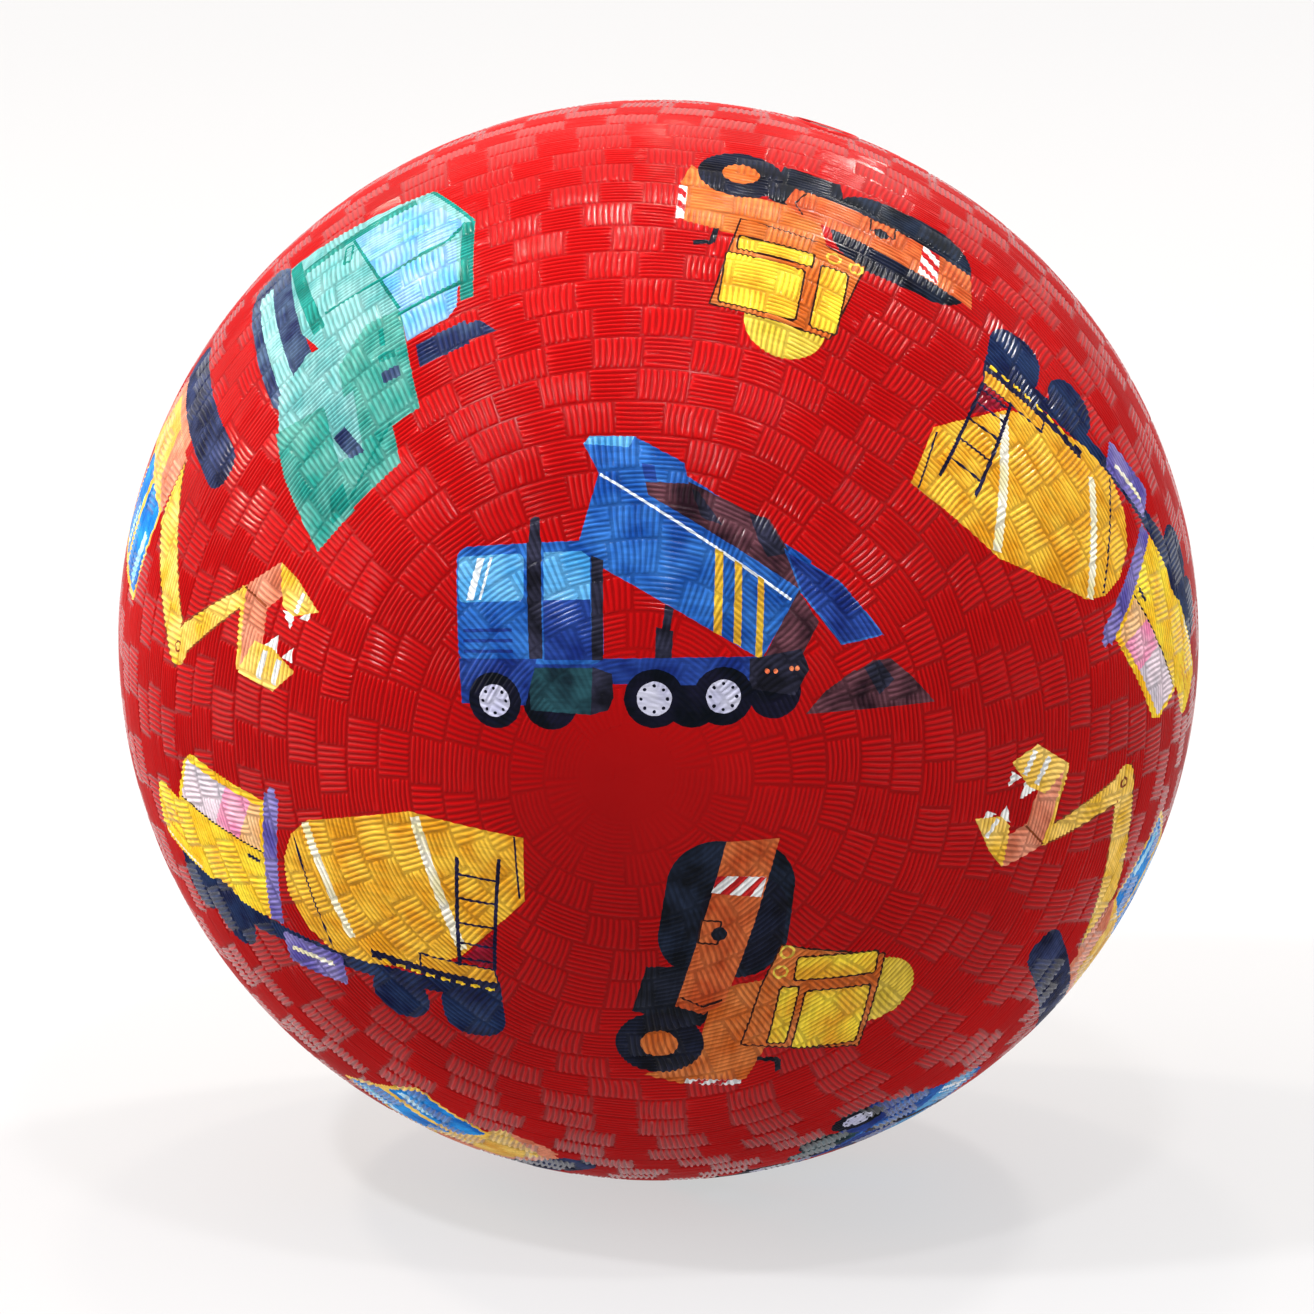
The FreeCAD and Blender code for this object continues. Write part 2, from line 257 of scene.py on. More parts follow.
def make_patches(rows, circles, points):
    """Every patch with the loop of shared points round it, counterclockwise from outside."""
    patches = []
    for i, row in enumerate(rows):
        thirds = row.top + (row.bottom - row.top) * np.array([1, 2]) / 3
        wests = row.offset + row.width * np.arange(row.count)
        sides = points.add(mould_point(thirds[None, :], wests[:, None], valley_radius(thirds)))
        for j, west in enumerate(wests):
            north, north_share = along_circle(circles[i], west, row.width)
            south, south_share = along_circle(circles[i + 1], west, row.width)
            left = sides + 2 * j + np.array([0, 1])
            right = sides + 2 * ((j + 1) % row.count) + np.array([1, 0])
            outline = np.concatenate([north[:1], left, south, right, north[::-1]])
            params = np.concatenate(
                [[0, 1 / 3, 2 / 3], 1 + south_share, [2 + 1 / 3, 2 + 2 / 3], 4 - north_share[::-1]]
            )
            middle = west + row.width / 2
            panel = int(((middle + math.pi / PANELS) % TAU) / (TAU / PANELS))
            ringwise = (i + j) % 2 == 0
            patches.append(Patch(row, west, ringwise, panel, outline, params))
    return patches


# --- ridges

def valve_fade(points):
    """The ridges die out round the valve."""
    along = points @ VALVE
    away = np.sqrt(np.maximum((points**2).sum(-1) - along**2, 0))
    fade = np.clip((away - FLAT_WITHIN) / (FULL_BEYOND - FLAT_WITHIN), 0, 1)
    return np.where(along > 0, fade, 1.0)


def across_samples(ridges):
    """Places across a patch, counted in ridges: every sample of every ridge, then the far edge."""
    samples = np.arange(ridges)[:, None] + 0.5 + np.array(ACROSS_STEPS)
    return np.append(samples.ravel(), ridges)


def ridge_grid(count, ridges, rng):
    """Across and along positions and heights of the ridges of many patches, all from 0 to 1."""
    across = across_samples(ridges)
    rise = np.append(np.tile(ACROSS_RISE, ridges), 0.0)
    owner = np.minimum(np.arange(len(across)) // len(ACROSS_STEPS), ridges - 1)
    along = np.array(ALONG_STEPS)

    def draw(limits):
        """One chance value for each ridge, spread to that ridge's samples."""
        return rng.uniform(*limits, (count, ridges))[:, owner, None]

    start = draw(START)
    stop = draw(STOP)
    along_all = start + (stop - start) * along

    waves = draw(WAVES)
    phase = draw((0, TAU))
    swing = draw(SWING)
    wobble = swing * np.sin(TAU * waves * along_all + phase)
    bend = rng.uniform(*BEND, (count, 1, 1)) * np.sin(math.pi * along)
    inside = (1 - np.abs(2 * across / ridges - 1) ** 4)[:, None]
    across_all = (across[:, None] + (wobble + bend) * inside) / ridges

    height = rise[:, None] * np.array(ALONG_RISE) * np.ones((count, 1, 1))
    height = height * draw(RIDGE_STRENGTH)
    join_ridges(height, ridges, rng)
    height *= rng.uniform(*PATCH_STRENGTH, (count, 1, 1))
    return across_all, along_all, height


def join_ridges(height, ridges, rng):
    """Some neighbours are joined at one end, so that two ridges read as one hairpin."""
    step = len(ACROSS_STEPS)
    for last, before in ((1, 2), (-2, -3)):
        joined = rng.random((len(height), ridges - 1)) < JOIN_CHANCE
        patch, ridge = np.nonzero(joined)
        for offset in (-1, 0, 1):
            sample = (ridge + 1) * step + offset
            height[patch, sample, last] = JOIN_RISE
            height[patch, sample, before] = np.maximum(height[patch, sample, before], JOIN_SHOULDER)


def patch_points(patches, ridges, ringwise, rng):
    """Points of the ridge grids of patches of one kind: patch, across, along, xyz."""
    across, along, height = ridge_grid(len(patches), ridges, rng)
    skew = rng.uniform(*SKEW, (len(patches), 1, 1))
    across = across + skew * (along - 0.5)
    top = np.array([p.row.top for p in patches])[:, None, None]
    tall = np.array([p.row.bottom - p.row.top for p in patches])[:, None, None]
    west = np.array([p.west for p in patches])[:, None, None]
    wide = np.array([p.row.width for p in patches])[:, None, None]
    gap_tall = PATCH_GAP / (BASE_RADIUS * tall)
    gap_wide = PATCH_GAP / (BASE_RADIUS * np.sin(top + tall / 2) * wide)
    east_share, south_share = (along, across) if ringwise else (across, along)
    theta = top + tall * (gap_tall + (1 - 2 * gap_tall) * south_share)
    phi = west + wide * (gap_wide + (1 - 2 * gap_wide) * east_share)
    base = mould_point(theta, phi, valley_radius(theta))
    lift = RIDGE_DEPTH * height * pole_fade(theta) * valve_fade(base)
    return base * (1 + lift / BASE_RADIUS)[..., None]


def grid_quads(first, across, along, ringwise):
    """Quads of one ridge grid, counterclockwise from outside."""
    number = first + np.arange(across * along).reshape(across, along)
    if not ringwise:
        number = number.T
    corners = [number[:-1, :-1], number[1:, :-1], number[1:, 1:], number[:-1, 1:]]
    return np.stack(corners, -1).reshape(-1, 4)


def grid_rim(across, along, ringwise):
    """Numbers and fractions of the loop round a ridge grid, in the same sense as the outline."""
    number = np.arange(across * along).reshape(across, along)
    ridges = (across - 1) // len(ACROSS_STEPS)
    across_share = across_samples(ridges) / ridges
    along_share = np.array(ALONG_STEPS)
    south, east = (across_share, along_share) if ringwise else (along_share, across_share)
    if not ringwise:
        number = number.T
    rim = np.concatenate([number[:-1, 0], number[-1, :-1], number[:0:-1, -1], number[0, ::-1]])
    params = np.concatenate([south[:-1], 1 + east[:-1], 3 - south[:0:-1], 4 - east[::-1]])
    return rim, params


def zip_loops(outer, outer_at, inner, inner_at):
    """Triangles between two loops that start at the same corner and run the same way."""
    triangles = []
    i = j = 0
    while i < len(outer) - 1 or j < len(inner) - 1:
        if j == len(inner) - 1 or (i < len(outer) - 1 and outer_at[i + 1] <= inner_at[j + 1]):
            triangles.append((outer[i], outer[i + 1], inner[j]))
            i += 1
        else:
            triangles.append((outer[i], inner[j + 1], inner[j]))
            j += 1
    return triangles


# --- cover panels

class Panel:
    """One slice of the cover: outside faces and hidden faces, each as triangles and quads."""

    def __init__(self):
        self.outside = {3: [], 4: []}
        self.hidden = {3: [], 4: []}
        self.edges = set()


def add_outer_skin(panels, patches, points, rng):
    for ringwise, ridges in ((True, RING_RIDGES), (False, MERIDIAN_RIDGES)):
        chosen = [p for p in patches if p.ringwise == ringwise]
        grid = patch_points(chosen, ridges, ringwise, rng)
        first = points.add(grid)
        across, along = grid.shape[1:3]
        rim, rim_at = grid_rim(across, along, ringwise)
        rim_at = rim_at.tolist()
        for k, patch in enumerate(chosen):
            start = first + k * across * along
            panel = panels[patch.panel]
            panel.outside[4].append(grid_quads(start, across, along, ringwise))
            outline = patch.outline.tolist()
            loops = zip_loops(outline, patch.params.tolist(), (start + rim).tolist(), rim_at)
            panel.outside[3].append(np.array(loops))
            panel.edges.update(zip(outline[:-1], outline[1:]))


def pole_discs(circles, points, radius, shift=0):
    """Triangles of the small plain discs at the mould poles, counterclockwise from outside."""
    discs = []
    for (angles, first), axis, flipped in ((circles[0], POLE, False), (circles[-1], -POLE, True)):
        middle = points.add(drifted(axis) * radius)
        ring = shift + first + np.arange(len(angles))
        after = np.roll(ring, -1)
        start, end = (after, ring) if flipped else (ring, after)
        discs.append(np.stack([np.full(len(ring), middle), start, end], -1))
    return discs


def add_caps(panels, circles, points):
    for fan in pole_discs(circles, points, valley_radius(CAP_ANGLE)):
        panels[0].outside[3].append(fan)
        panels[0].edges.update(zip(fan[:, 1].tolist(), fan[:, 2].tolist()))


def add_inner_skin(panels, patches, circles, points, border_count):
    """The plain inside surface, under the shared points, and the walls where panels meet."""
    border = points.array()[:border_count]
    lengths = np.linalg.norm(border, axis=1, keepdims=True)
    below = points.add(border * INNER_RADIUS / lengths)
    for patch in patches:
        middle_theta = (patch.row.top + patch.row.bottom) / 2
        middle = points.add(mould_point(middle_theta, patch.west + patch.row.width / 2, INNER_RADIUS))
        loop = patch.outline + below
        fan = np.stack([np.full(len(loop) - 1, middle), loop[1:], loop[:-1]], -1)
        panels[patch.panel].hidden[3].append(fan)
    for fan in pole_discs(circles, points, INNER_RADIUS, below):
        panels[0].hidden[3].append(fan[:, [0, 2, 1]])
    for panel in panels:
        rim = [(u, v) for u, v in panel.edges if (v, u) not in panel.edges]
        rim = np.array(sorted(rim))
        start, end = rim[:, 0], rim[:, 1]
        panel.hidden[4].append(np.stack([end, start, start + below, end + below], -1))


def cut_ring(faces, xyz, across_axis, up_axis, ring_numbers):
    """Opens a skin round the valve and fills up to a ring. Returns kept faces and the fill."""
    flat = xyz @ np.stack([across_axis, up_axis], 1)
    away = np.hypot(flat[:, 0], flat[:, 1])
    near = (away < HOLE_CLEAR) & (xyz @ VALVE > 0)
    kept = {}
    open_edges = set()
    for size, group in faces.items():
        gone = near[group].any(axis=1)
        kept[size] = group[~gone]
        for face in group[gone].tolist():
            open_edges.update(zip(face, face[1:] + face[:1]))
    loop_edges = [(u, v) for u, v in open_edges if (v, u) not in open_edges]
    numbers = sorted({u for edge in loop_edges for u in edge})
    place = {number: k for k, number in enumerate(numbers)}
    spots = [Vector(flat[n]) for n in numbers] + [Vector(flat[n]) for n in ring_numbers]
    count = len(numbers)
    ring = [(count + k, count + (k + 1) % len(ring_numbers)) for k in range(len(ring_numbers))]
    constraints = [(place[u], place[v]) for u, v in sorted(loop_edges)] + ring
    result = delaunay_2d_cdt(spots, constraints, [], 1, 1e-6)
    source = [origins[0] for origins in result[3]]
    all_numbers = numbers + list(ring_numbers)
    fill = []
    for face in result[2]:
        corners = [source[c] for c in face]
        if min(corners) < count:
            fill.append([all_numbers[c] for c in corners])
    return kept, np.array(fill)


def open_valve_hole(panel, points):
    """Cuts the valve's hole through a panel, with a rounded lip round it."""
    side = unit(np.cross(POLE, VALVE))
    up = np.cross(VALVE, side)
    turn = TAU * np.arange(RING_POINTS) / RING_POINTS
    circle = np.cos(turn)[:, None] * side + np.sin(turn)[:, None] * up

    def ring(radius, distance):
        height = math.sqrt(distance**2 - radius**2)
        return points.add(circle * radius + VALVE * height)

    rings = [ring(radius, BASE_RADIUS + rise) for radius, rise in LIP]
    rings.append(ring(HOLE_RADIUS, INNER_RADIUS))
    inner_ring = rings[-1] + np.arange(RING_POINTS)
    outer_ring = rings[0] + np.arange(RING_POINTS)
    xyz = points.array()
    outside = {size: np.concatenate(groups) for size, groups in panel.outside.items()}
    hidden = {size: np.concatenate(groups) for size, groups in panel.hidden.items()}
    outside, fill = cut_ring(outside, xyz, side, up, outer_ring.tolist())
    hidden, under = cut_ring(hidden, xyz, side, up, inner_ring.tolist())
    step = np.arange(RING_POINTS)
    after = (step + 1) % RING_POINTS
    bands = [
        np.stack([high + step, high + after, low + after, low + step], -1)
        for high, low in zip(rings, rings[1:])
    ]
    panel.outside = {3: [outside[3], fill], 4: [outside[4], *bands[:-1]]}
    panel.hidden = {3: [hidden[3], under[:, ::-1]], 4: [hidden[4], bands[-1]]}


def build_panels():
    """The whole cover as panels: slices between longitudes of the mould axis."""
    rng = np.random.default_rng(SEED)
    points = Points()
    rows = make_rows(rng)
    circles = make_circles(rows, points)
    patches = make_patches(rows, circles, points)
    border_count = points.count
    panels = [Panel() for _ in range(PANELS)]
    add_outer_skin(panels, patches, points, rng)
    add_caps(panels, circles, points)
    add_inner_skin(panels, patches, circles, points, border_count)
    open_valve_hole(panels[0], points)
    return panels, points.array()


def face_corners(groups):
    """Flat list of corners, and the number of corners of each face: triangles, then quads."""
    tris = np.concatenate(groups[3])
    quads = np.concatenate(groups[4])
    corners = np.concatenate([tris.ravel(), quads.ravel()])
    sizes = np.concatenate([np.full(len(tris), 3), np.full(len(quads), 4)])
    return corners, sizes


# Flat map of a panel. Sizes are shares of the image, except the panel's half width in mm.
PANEL_HALF_WIDTH = 29.0
MAP_HALF_WIDTH = 0.235
MAP_BOTTOM = 0.03
MAP_HEIGHT = 0.94
CORNER_MIDDLE = 0.010
CORNER_HALF_WIDTH = 0.008
CORNER_BOTTOM = 0.002
CORNER_HEIGHT = 0.016


def panel_uv(xyz, corners, face_of_corner, centre, hidden_from, longitude):
    """A flat map of a slice: north and south halves side by side, hidden faces in a corner."""
    theta, phi = mould_angles(xyz)
    across = ((phi - longitude + math.pi) % TAU - math.pi) * np.sin(theta) * BASE_RADIUS
    across = across[corners] / PANEL_HALF_WIDTH
    south = (centre @ POLE < 0)[face_of_corner]
    down = theta[corners] - np.where(south, math.pi / 2, 0)
    u = 0.25 + 0.5 * south + MAP_HALF_WIDTH * across
    v = MAP_BOTTOM + MAP_HEIGHT * down / (math.pi / 2)
    inside = face_of_corner >= hidden_from
    u = np.where(inside, CORNER_MIDDLE + CORNER_HALF_WIDTH * across, u)
    v = np.where(inside, CORNER_BOTTOM + CORNER_HEIGHT * theta[corners] / math.pi, v)
    return np.stack([u, v], -1)


def make_panel(number, panel, points, ground, inside, prints):
    """One Blender piece from a panel."""
    corners_out, sizes_out = face_corners(panel.outside)
    corners_in, sizes_in = face_corners(panel.hidden)
    used, corners = np.unique(np.concatenate([corners_out, corners_in]), return_inverse=True)
    sizes = np.concatenate([sizes_out, sizes_in])
    starts = np.concatenate([[0], np.cumsum(sizes)[:-1]])
    face_of_corner = np.repeat(np.arange(len(sizes)), sizes)
    xyz = points[used]
    centre = np.add.reduceat(xyz[corners], starts) / sizes[:, None]

    mesh = bpy.data.meshes.new(f"cover_{number + 1}")
    mesh.vertices.add(len(xyz))
    mesh.vertices.foreach_set("co", (xyz * MM).ravel())
    mesh.loops.add(len(corners))
    mesh.loops.foreach_set("vertex_index", corners.astype(np.int32))
    mesh.polygons.add(len(sizes))
    mesh.polygons.foreach_set("loop_start", starts.astype(np.int32))
    mesh.update(calc_edges=True)
    smooth = np.arange(len(sizes)) < len(sizes_out)
    mesh.polygons.foreach_set("use_smooth", smooth)
    edge_of_corner = np.zeros(len(corners), np.int32)
    mesh.loops.foreach_get("edge_index", edge_of_corner)
    # Edges of hidden faces are sharp, so that they don't bend the outside's smooth shading
    sharp = np.zeros(len(mesh.edges), bool)
    sharp[edge_of_corner[face_of_corner >= len(sizes_out)]] = True
    mesh.attributes.new("sharp_edge", "BOOLEAN", "EDGE").data.foreach_set("value", sharp)
    uv = mesh.uv_layers.new(name="OFBake")
    longitude = number * TAU / PANELS
    spots = panel_uv(xyz, corners, face_of_corner, centre, len(sizes_out), longitude)
    uv.uv.foreach_set("vector", spots.ravel())

    mesh.materials.append(ground)
    mesh.materials.append(inside)
    slots = np.where(smooth, 0, 1)
    for vehicle, material in prints:
        covered = vehicle_covers(vehicle, centre) & smooth & (slots == 0)
        if covered.any():
            mesh.materials.append(material)
            slots[covered] = len(mesh.materials) - 1
    mesh.polygons.foreach_set("material_index", slots.astype(np.int32))
    piece = bpy.data.objects.new(mesh.name, mesh)
    bpy.context.scene.collection.objects.link(piece)
    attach(piece, "root")
    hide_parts("cover")


# --- flat shapes of the prints

Shape = namedtuple("Shape", "ink kind numbers line")
LINE_WIDTH = 0.35


def convex(ink, *corners, line=None):
    return Shape(ink, "convex", corners, line)


def disc(ink, x, y, radius, line=None):
    return Shape(ink, "disc", (x, y, radius), line)


def block(ink, x, y, half_wide, half_tall, corner, line=None):
    """A rounded box."""
    return Shape(ink, "block", (x, y, half_wide, half_tall, corner), line)


def bar(ink, x0, y0, x1, y1, width):
    """A straight stroke between two places."""
    long = math.hypot(x1 - x0, y1 - y0)
    px = -(y1 - y0) / long * width / 2
    py = (x1 - x0) / long * width / 2
    return convex(ink, (x0 + px, y0 + py), (x0 - px, y0 - py), (x1 - px, y1 - py), (x1 + px, y1 + py))


def level_bars(ink, x0, x1, heights, width):
    """Level strokes, one at each height."""
    return [bar(ink, x0, y, x1, y, width) for y in heights]


def framed(frame_ink, ink, x, y, half_wide, half_tall, corner):
    """A rounded box with a thin frame in another ink."""
    inner = (half_wide - LINE_WIDTH, half_tall - LINE_WIDTH, corner - 0.1)
    return [block(frame_ink, x, y, half_wide, half_tall, corner), block(ink, x, y, *inner)]


def edge_lines(corners):
    """For each side of a convex outline, (a, b, c) with a*x + b*y + c = distance inside it."""
    area = 0.0
    for (x0, y0), (x1, y1) in zip(corners, corners[1:] + corners[:1]):
        area += x0 * y1 - x1 * y0
    turn = 1 if area > 0 else -1
    sides = []
    for (x0, y0), (x1, y1) in zip(corners, corners[1:] + corners[:1]):
        long = math.hypot(x1 - x0, y1 - y0)
        a = -turn * (y1 - y0) / long
        b = turn * (x1 - x0) / long
        sides.append((a, b, -a * x0 - b * y0))
    return sides


def depth_inside(shape, x, y):
    """How far places are inside a shape, in mm; negative outside."""
    if shape.kind == "convex":
        return np.min([a * x + b * y + c for a, b, c in edge_lines(shape.numbers)], axis=0)
    if shape.kind == "disc":
        cx, cy, radius = shape.numbers
        return radius - np.hypot(x - cx, y - cy)
    cx, cy, wide, tall, corner = shape.numbers
    over_x = np.maximum(np.abs(x - cx) - (wide - corner), 0)
    over_y = np.maximum(np.abs(y - cy) - (tall - corner), 0)
    return corner - np.hypot(over_x, over_y)


# --- the vehicles

def wheel(x, y, radius, hub):
    """A tyre with a pale hub and a ring of bolts."""
    shapes = [disc("tyre", x, y, radius), disc("hub", x, y, hub)]
    for k in range(8):
        turn = TAU * k / 8
        shapes.append(disc("tyre", x + 0.76 * hub * math.cos(turn), y + 0.76 * hub * math.sin(turn), 0.3))
    return shapes


def dump_truck():
    inks = {
        "blue": ((20, 70, 150), (50, 110, 190)),
        "navy": ((20, 40, 110), (40, 70, 150)),
        "glass": ((60, 140, 200), (100, 170, 220)),
        "black": ((20, 20, 30), (50, 50, 70)),
        "teal": ((20, 40, 50), (40, 80, 90)),
        "tyre": ((5, 10, 20), (20, 20, 40)),
        "hub": ((180, 180, 210), (210, 210, 230)),
        "gold": ((200, 150, 40), (230, 190, 60)),
        "gravel": ((40, 20, 30), (100, 60, 70)),
        "white": ((220, 230, 240), (240, 245, 250)),
        "lamp": ((230, 110, 70), (250, 150, 100)),
    }
    shapes = [
        disc("tyre", -20, -20, 4.8),
        disc("tyre", 4, -19.6, 4.6),
        disc("tyre", 18, -18.3, 4.6),
        convex("navy", (-36.7, -12.7), (-36.7, -16.2), (21, -17.2), (22.3, -13), (15, -12.2)),
        convex("teal", (-23.5, -14), (-23.5, -21.4), (-13, -22), (-12, -14)),
        convex("black", (-12.4, -13.8), (-13, -22), (-10, -21.2), (-9, -19), (-9.2, -15)),
        convex("gravel", (21.5, -1), (16, -12.5), (22, -13.2), (25.5, -6.5)),
        bar("blue", 3, 17.4, 11, 12.0, 1.0),
        bar("blue", 18.5, 6.6, 24, 3.4, 1.0),
        convex("gravel", (-6, 14), (-4.4, 18.2), (3, 17), (14, 11.5), (8, 5)),
        convex("gravel", (8, 5), (14, 11.5), (17, 10.5), (24, -1), (19, -3)),
        convex("black", (13.5, 11.5), (16.5, 10.8), (20, 5), (16.5, 4.2), (15, 7)),
        convex("black", (4, 15.6), (5.2, 15), (9, 9.4), (5.6, 10.6)),
        convex("blue", (-11, 19.4), (22, -1), (15.5, -12.8), (-15, 5)),
        convex("blue", (-5.4, 25), (3, 20), (3.6, 16.4), (-4, 16.8), (-9, 19)),
        convex("navy", (-4.8, 20.2), (-2, 19.6), (-1.6, 16.8), (-4.4, 17.4)),
        convex("blue", (-14, 24), (-13, 25.5), (-5, 25), (-3, 14), (-11.2, 18.4)),
        convex("glass", (-14, 24), (-13, 25.5), (-5.3, 25), (-6.3, 23)),
        bar("white", -11, 18.3, 20.5, -2.8, 0.45),
        convex("gold", (7.8, 5.6), (9.1, 4.8), (8.8, -8.8), (7.4, -8.2)),
        convex("gold", (11, 3.6), (12.2, 2.8), (12, -10.6), (10.7, -9.9)),
        convex("gold", (14.8, 1.1), (15.9, 0.4), (15.6, -12.7), (14.4, -12.2)),
        convex("navy", (20, 5), (29.2, 0.2), (37.7, -8.5), (30, -10), (22.5, -1.5), line="blue"),
        convex("black", (-2.1, -12.4), (0.6, -12.4), (0.9, -8), (-1.9, -7.3)),
        convex("black", (-1, -8), (0.3, -8), (1, -4.4), (-0.4, -3.6)),
        block("blue", -23.6, -3.2, 13.1, 10.2, 2.2),
        convex("navy", (-20.6, -2.7), (-12.6, -2.7), (-12.4, -12.7), (-20.6, -12.7)),
        convex("navy", (-36.7, -12.5), (-36.7, -20.6), (-24.4, -20.6), (-22, -12.5)),
        block("glass", -30.2, 1.3, 6.2, 4.0, 1.2),
        convex("white", (-32.6, 4.9), (-31.2, 4.9), (-33.4, -2.3), (-34.8, -2.3)),
        convex("white", (-30.2, 4.9), (-29.7, 4.9), (-31.9, -2.3), (-32.4, -2.3)),
        convex("glass", (-20.5, 5.3), (-14, 5.3), (-12.6, 4.2), (-12.6, -2.7), (-20.5, -2.7)),
        *level_bars("navy", -35.6, -26.2, (-7.6, -9.4, -11.2), 0.6),
        convex("black", (-23.5, 7.2), (-20.9, 7.2), (-20.9, -12.5), (-23.3, -12.5)),
        convex("black", (-22.9, 11), (-22.2, 11.5), (-21.3, 11.2), (-21, 7), (-23.2, 7)),
        convex("black", (-12.4, 4.5), (-10.4, 3.6), (-10.6, -12.7), (-12.5, -12.7)),
        convex("black", (13.5, -12.6), (13.5, -17.6), (21.5, -19), (24, -14.5), (22.4, -11)),
    ]
    for x, y in ((-30.2, -19.9), (-2.3, -19.2), (9.2, -18.9)):
        shapes += wheel(x, y, 5.0, 2.9)
    for x, y in ((16.5, -14.7), (18, -14.7), (20.8, -14.3), (21.8, -14.3)):
        shapes.append(disc("lamp", x, y, 0.42))
    shapes += [
        convex("gravel", (23.8, -22.3), (27, -18.5), (32.5, -14.8), (51, -21.4)),
        convex("gravel", (31, -16.5), (36, -13.2), (40, -12.9), (45, -16.3), (51, -21.4), (34, -22)),
        convex("black", (34.5, -14.4), (37.6, -13.1), (41, -16.8), (38, -19.4)),
    ]
    return inks, shapes


def mixer_truck():
    inks = {
        "yellow": ((240, 180, 30), (250, 220, 60)),
        "drum": ((220, 150, 30), (240, 190, 60)),
        "cream": ((230, 220, 170), (250, 245, 230)),
        "purple": ((90, 80, 160), (140, 130, 190)),
        "navy": ((10, 20, 60), (30, 50, 90)),
        "black": ((15, 15, 45), (35, 35, 70)),
        "glass": ((200, 190, 200), (230, 210, 220)),
        "pink": ((230, 130, 170), (240, 180, 200)),
        "peach": ((230, 170, 110), (240, 200, 150)),
        "crimson": ((120, 10, 30), (160, 20, 50)),
        "orange": ((210, 140, 30), (230, 170, 50)),
    }
    shapes = [
        disc("navy", 11, -19.5, 5.5),
        convex("navy", (-44, -12), (-44, -17), (-19, -17.6), (-12, -16.6), (-12, -13.4)),
        convex("navy", (-14, -16.5), (31, -17.2), (31, -13.8), (-14, -13.4)),
        block("navy", 25, -20.4, 6.0, 6.4, 5.0),
        block("purple", -6.4, -17.8, 6.5, 3.4, 0.8),
        bar("cream", -11.4, -17.4, -2.2, -17.2, 1.0),
        convex("crimson", (24, -8.7), (31, -2), (30, -9.9)),
        convex(
            "drum",
            (-5, 10.5), (15, 18), (37, 17.5), (37, 5), (24, -8), (16, -12), (6, -14),
            (-2, -13.8), (-7, -10.4), (-10, -5), (-10.4, 1), (-8.6, 6.6),
        ),
        bar("cream", -5.6, 9.8, 3, -9.5, 1.7),
        bar("cream", 16, 17.2, 24.4, -6.6, 1.9),
        bar("black", -8, 6.6, -1.4, -13.4, 0.35),
        bar("black", 35.2, 17.4, 36, 5.4, 0.4),
        convex("orange", (16.2, -9.2), (30, -10.3), (30.4, -13), (16.2, -12.2), line="black"),
        convex("black", (6.5, -10.6), (31, -13.2), (31, -15.4), (6.5, -12.4)),
        bar("black", 24.2, 11.6, 23.6, -10, 0.75),
        bar("black", 32.2, 12.6, 30.2, -10.2, 0.75),
    ]
    for rung, y in enumerate((8.4, 3.8, -1.1, -5.2, -8.4)):
        shapes.append(bar("black", 24, y, 31.9 - 0.35 * rung, y - 0.2, 0.45))
    for dash in range(8):
        x = 8.4 + 2.8 * dash
        shapes.append(bar("yellow", x, -12.3 - 0.115 * (x - 8), x + 1.7, -12.5 - 0.115 * (x - 8), 0.6))
    shapes += [
        disc("navy", -39, -18, 5.4),
        block("yellow", -33.5, -7, 19.5, 6.2, 3.5),
        convex("yellow", (-42, -0.4), (-39.6, 8.6), (-37, 10.8), (-14.4, 10.3), (-14, -13), (-42, -13)),
        disc("navy", -28, -18.4, 6.7),
        bar("cream", -51, -12.2, -35.6, -12.6, 0.5),
        convex("glass", (-40.6, 0.6), (-38.6, 9), (-16, 9), (-16, 0.6)),
        convex("pink", (-28.4, 0.6), (-25.4, 9), (-16, 9), (-16, 0.6)),
        convex("peach", (-21.6, 0.6), (-18.4, 9), (-16, 9), (-16, 0.6)),
        bar("black", -40.8, 0.4, -14.2, 0.4, 0.3),
        bar("black", -19.4, -1.7, -16.2, -1.7, 0.7),
        *level_bars("orange", -49, -41, (-5.2, -7.2, -9.2), 0.7),
        convex("purple", (-15.1, 12), (-11.6, 12), (-12.4, -13), (-15.4, -13)),
        convex("purple", (-14, 13.4), (-12.6, 13.4), (-12.4, 11.8), (-14.4, 11.8)),
    ]
    return inks, shapes


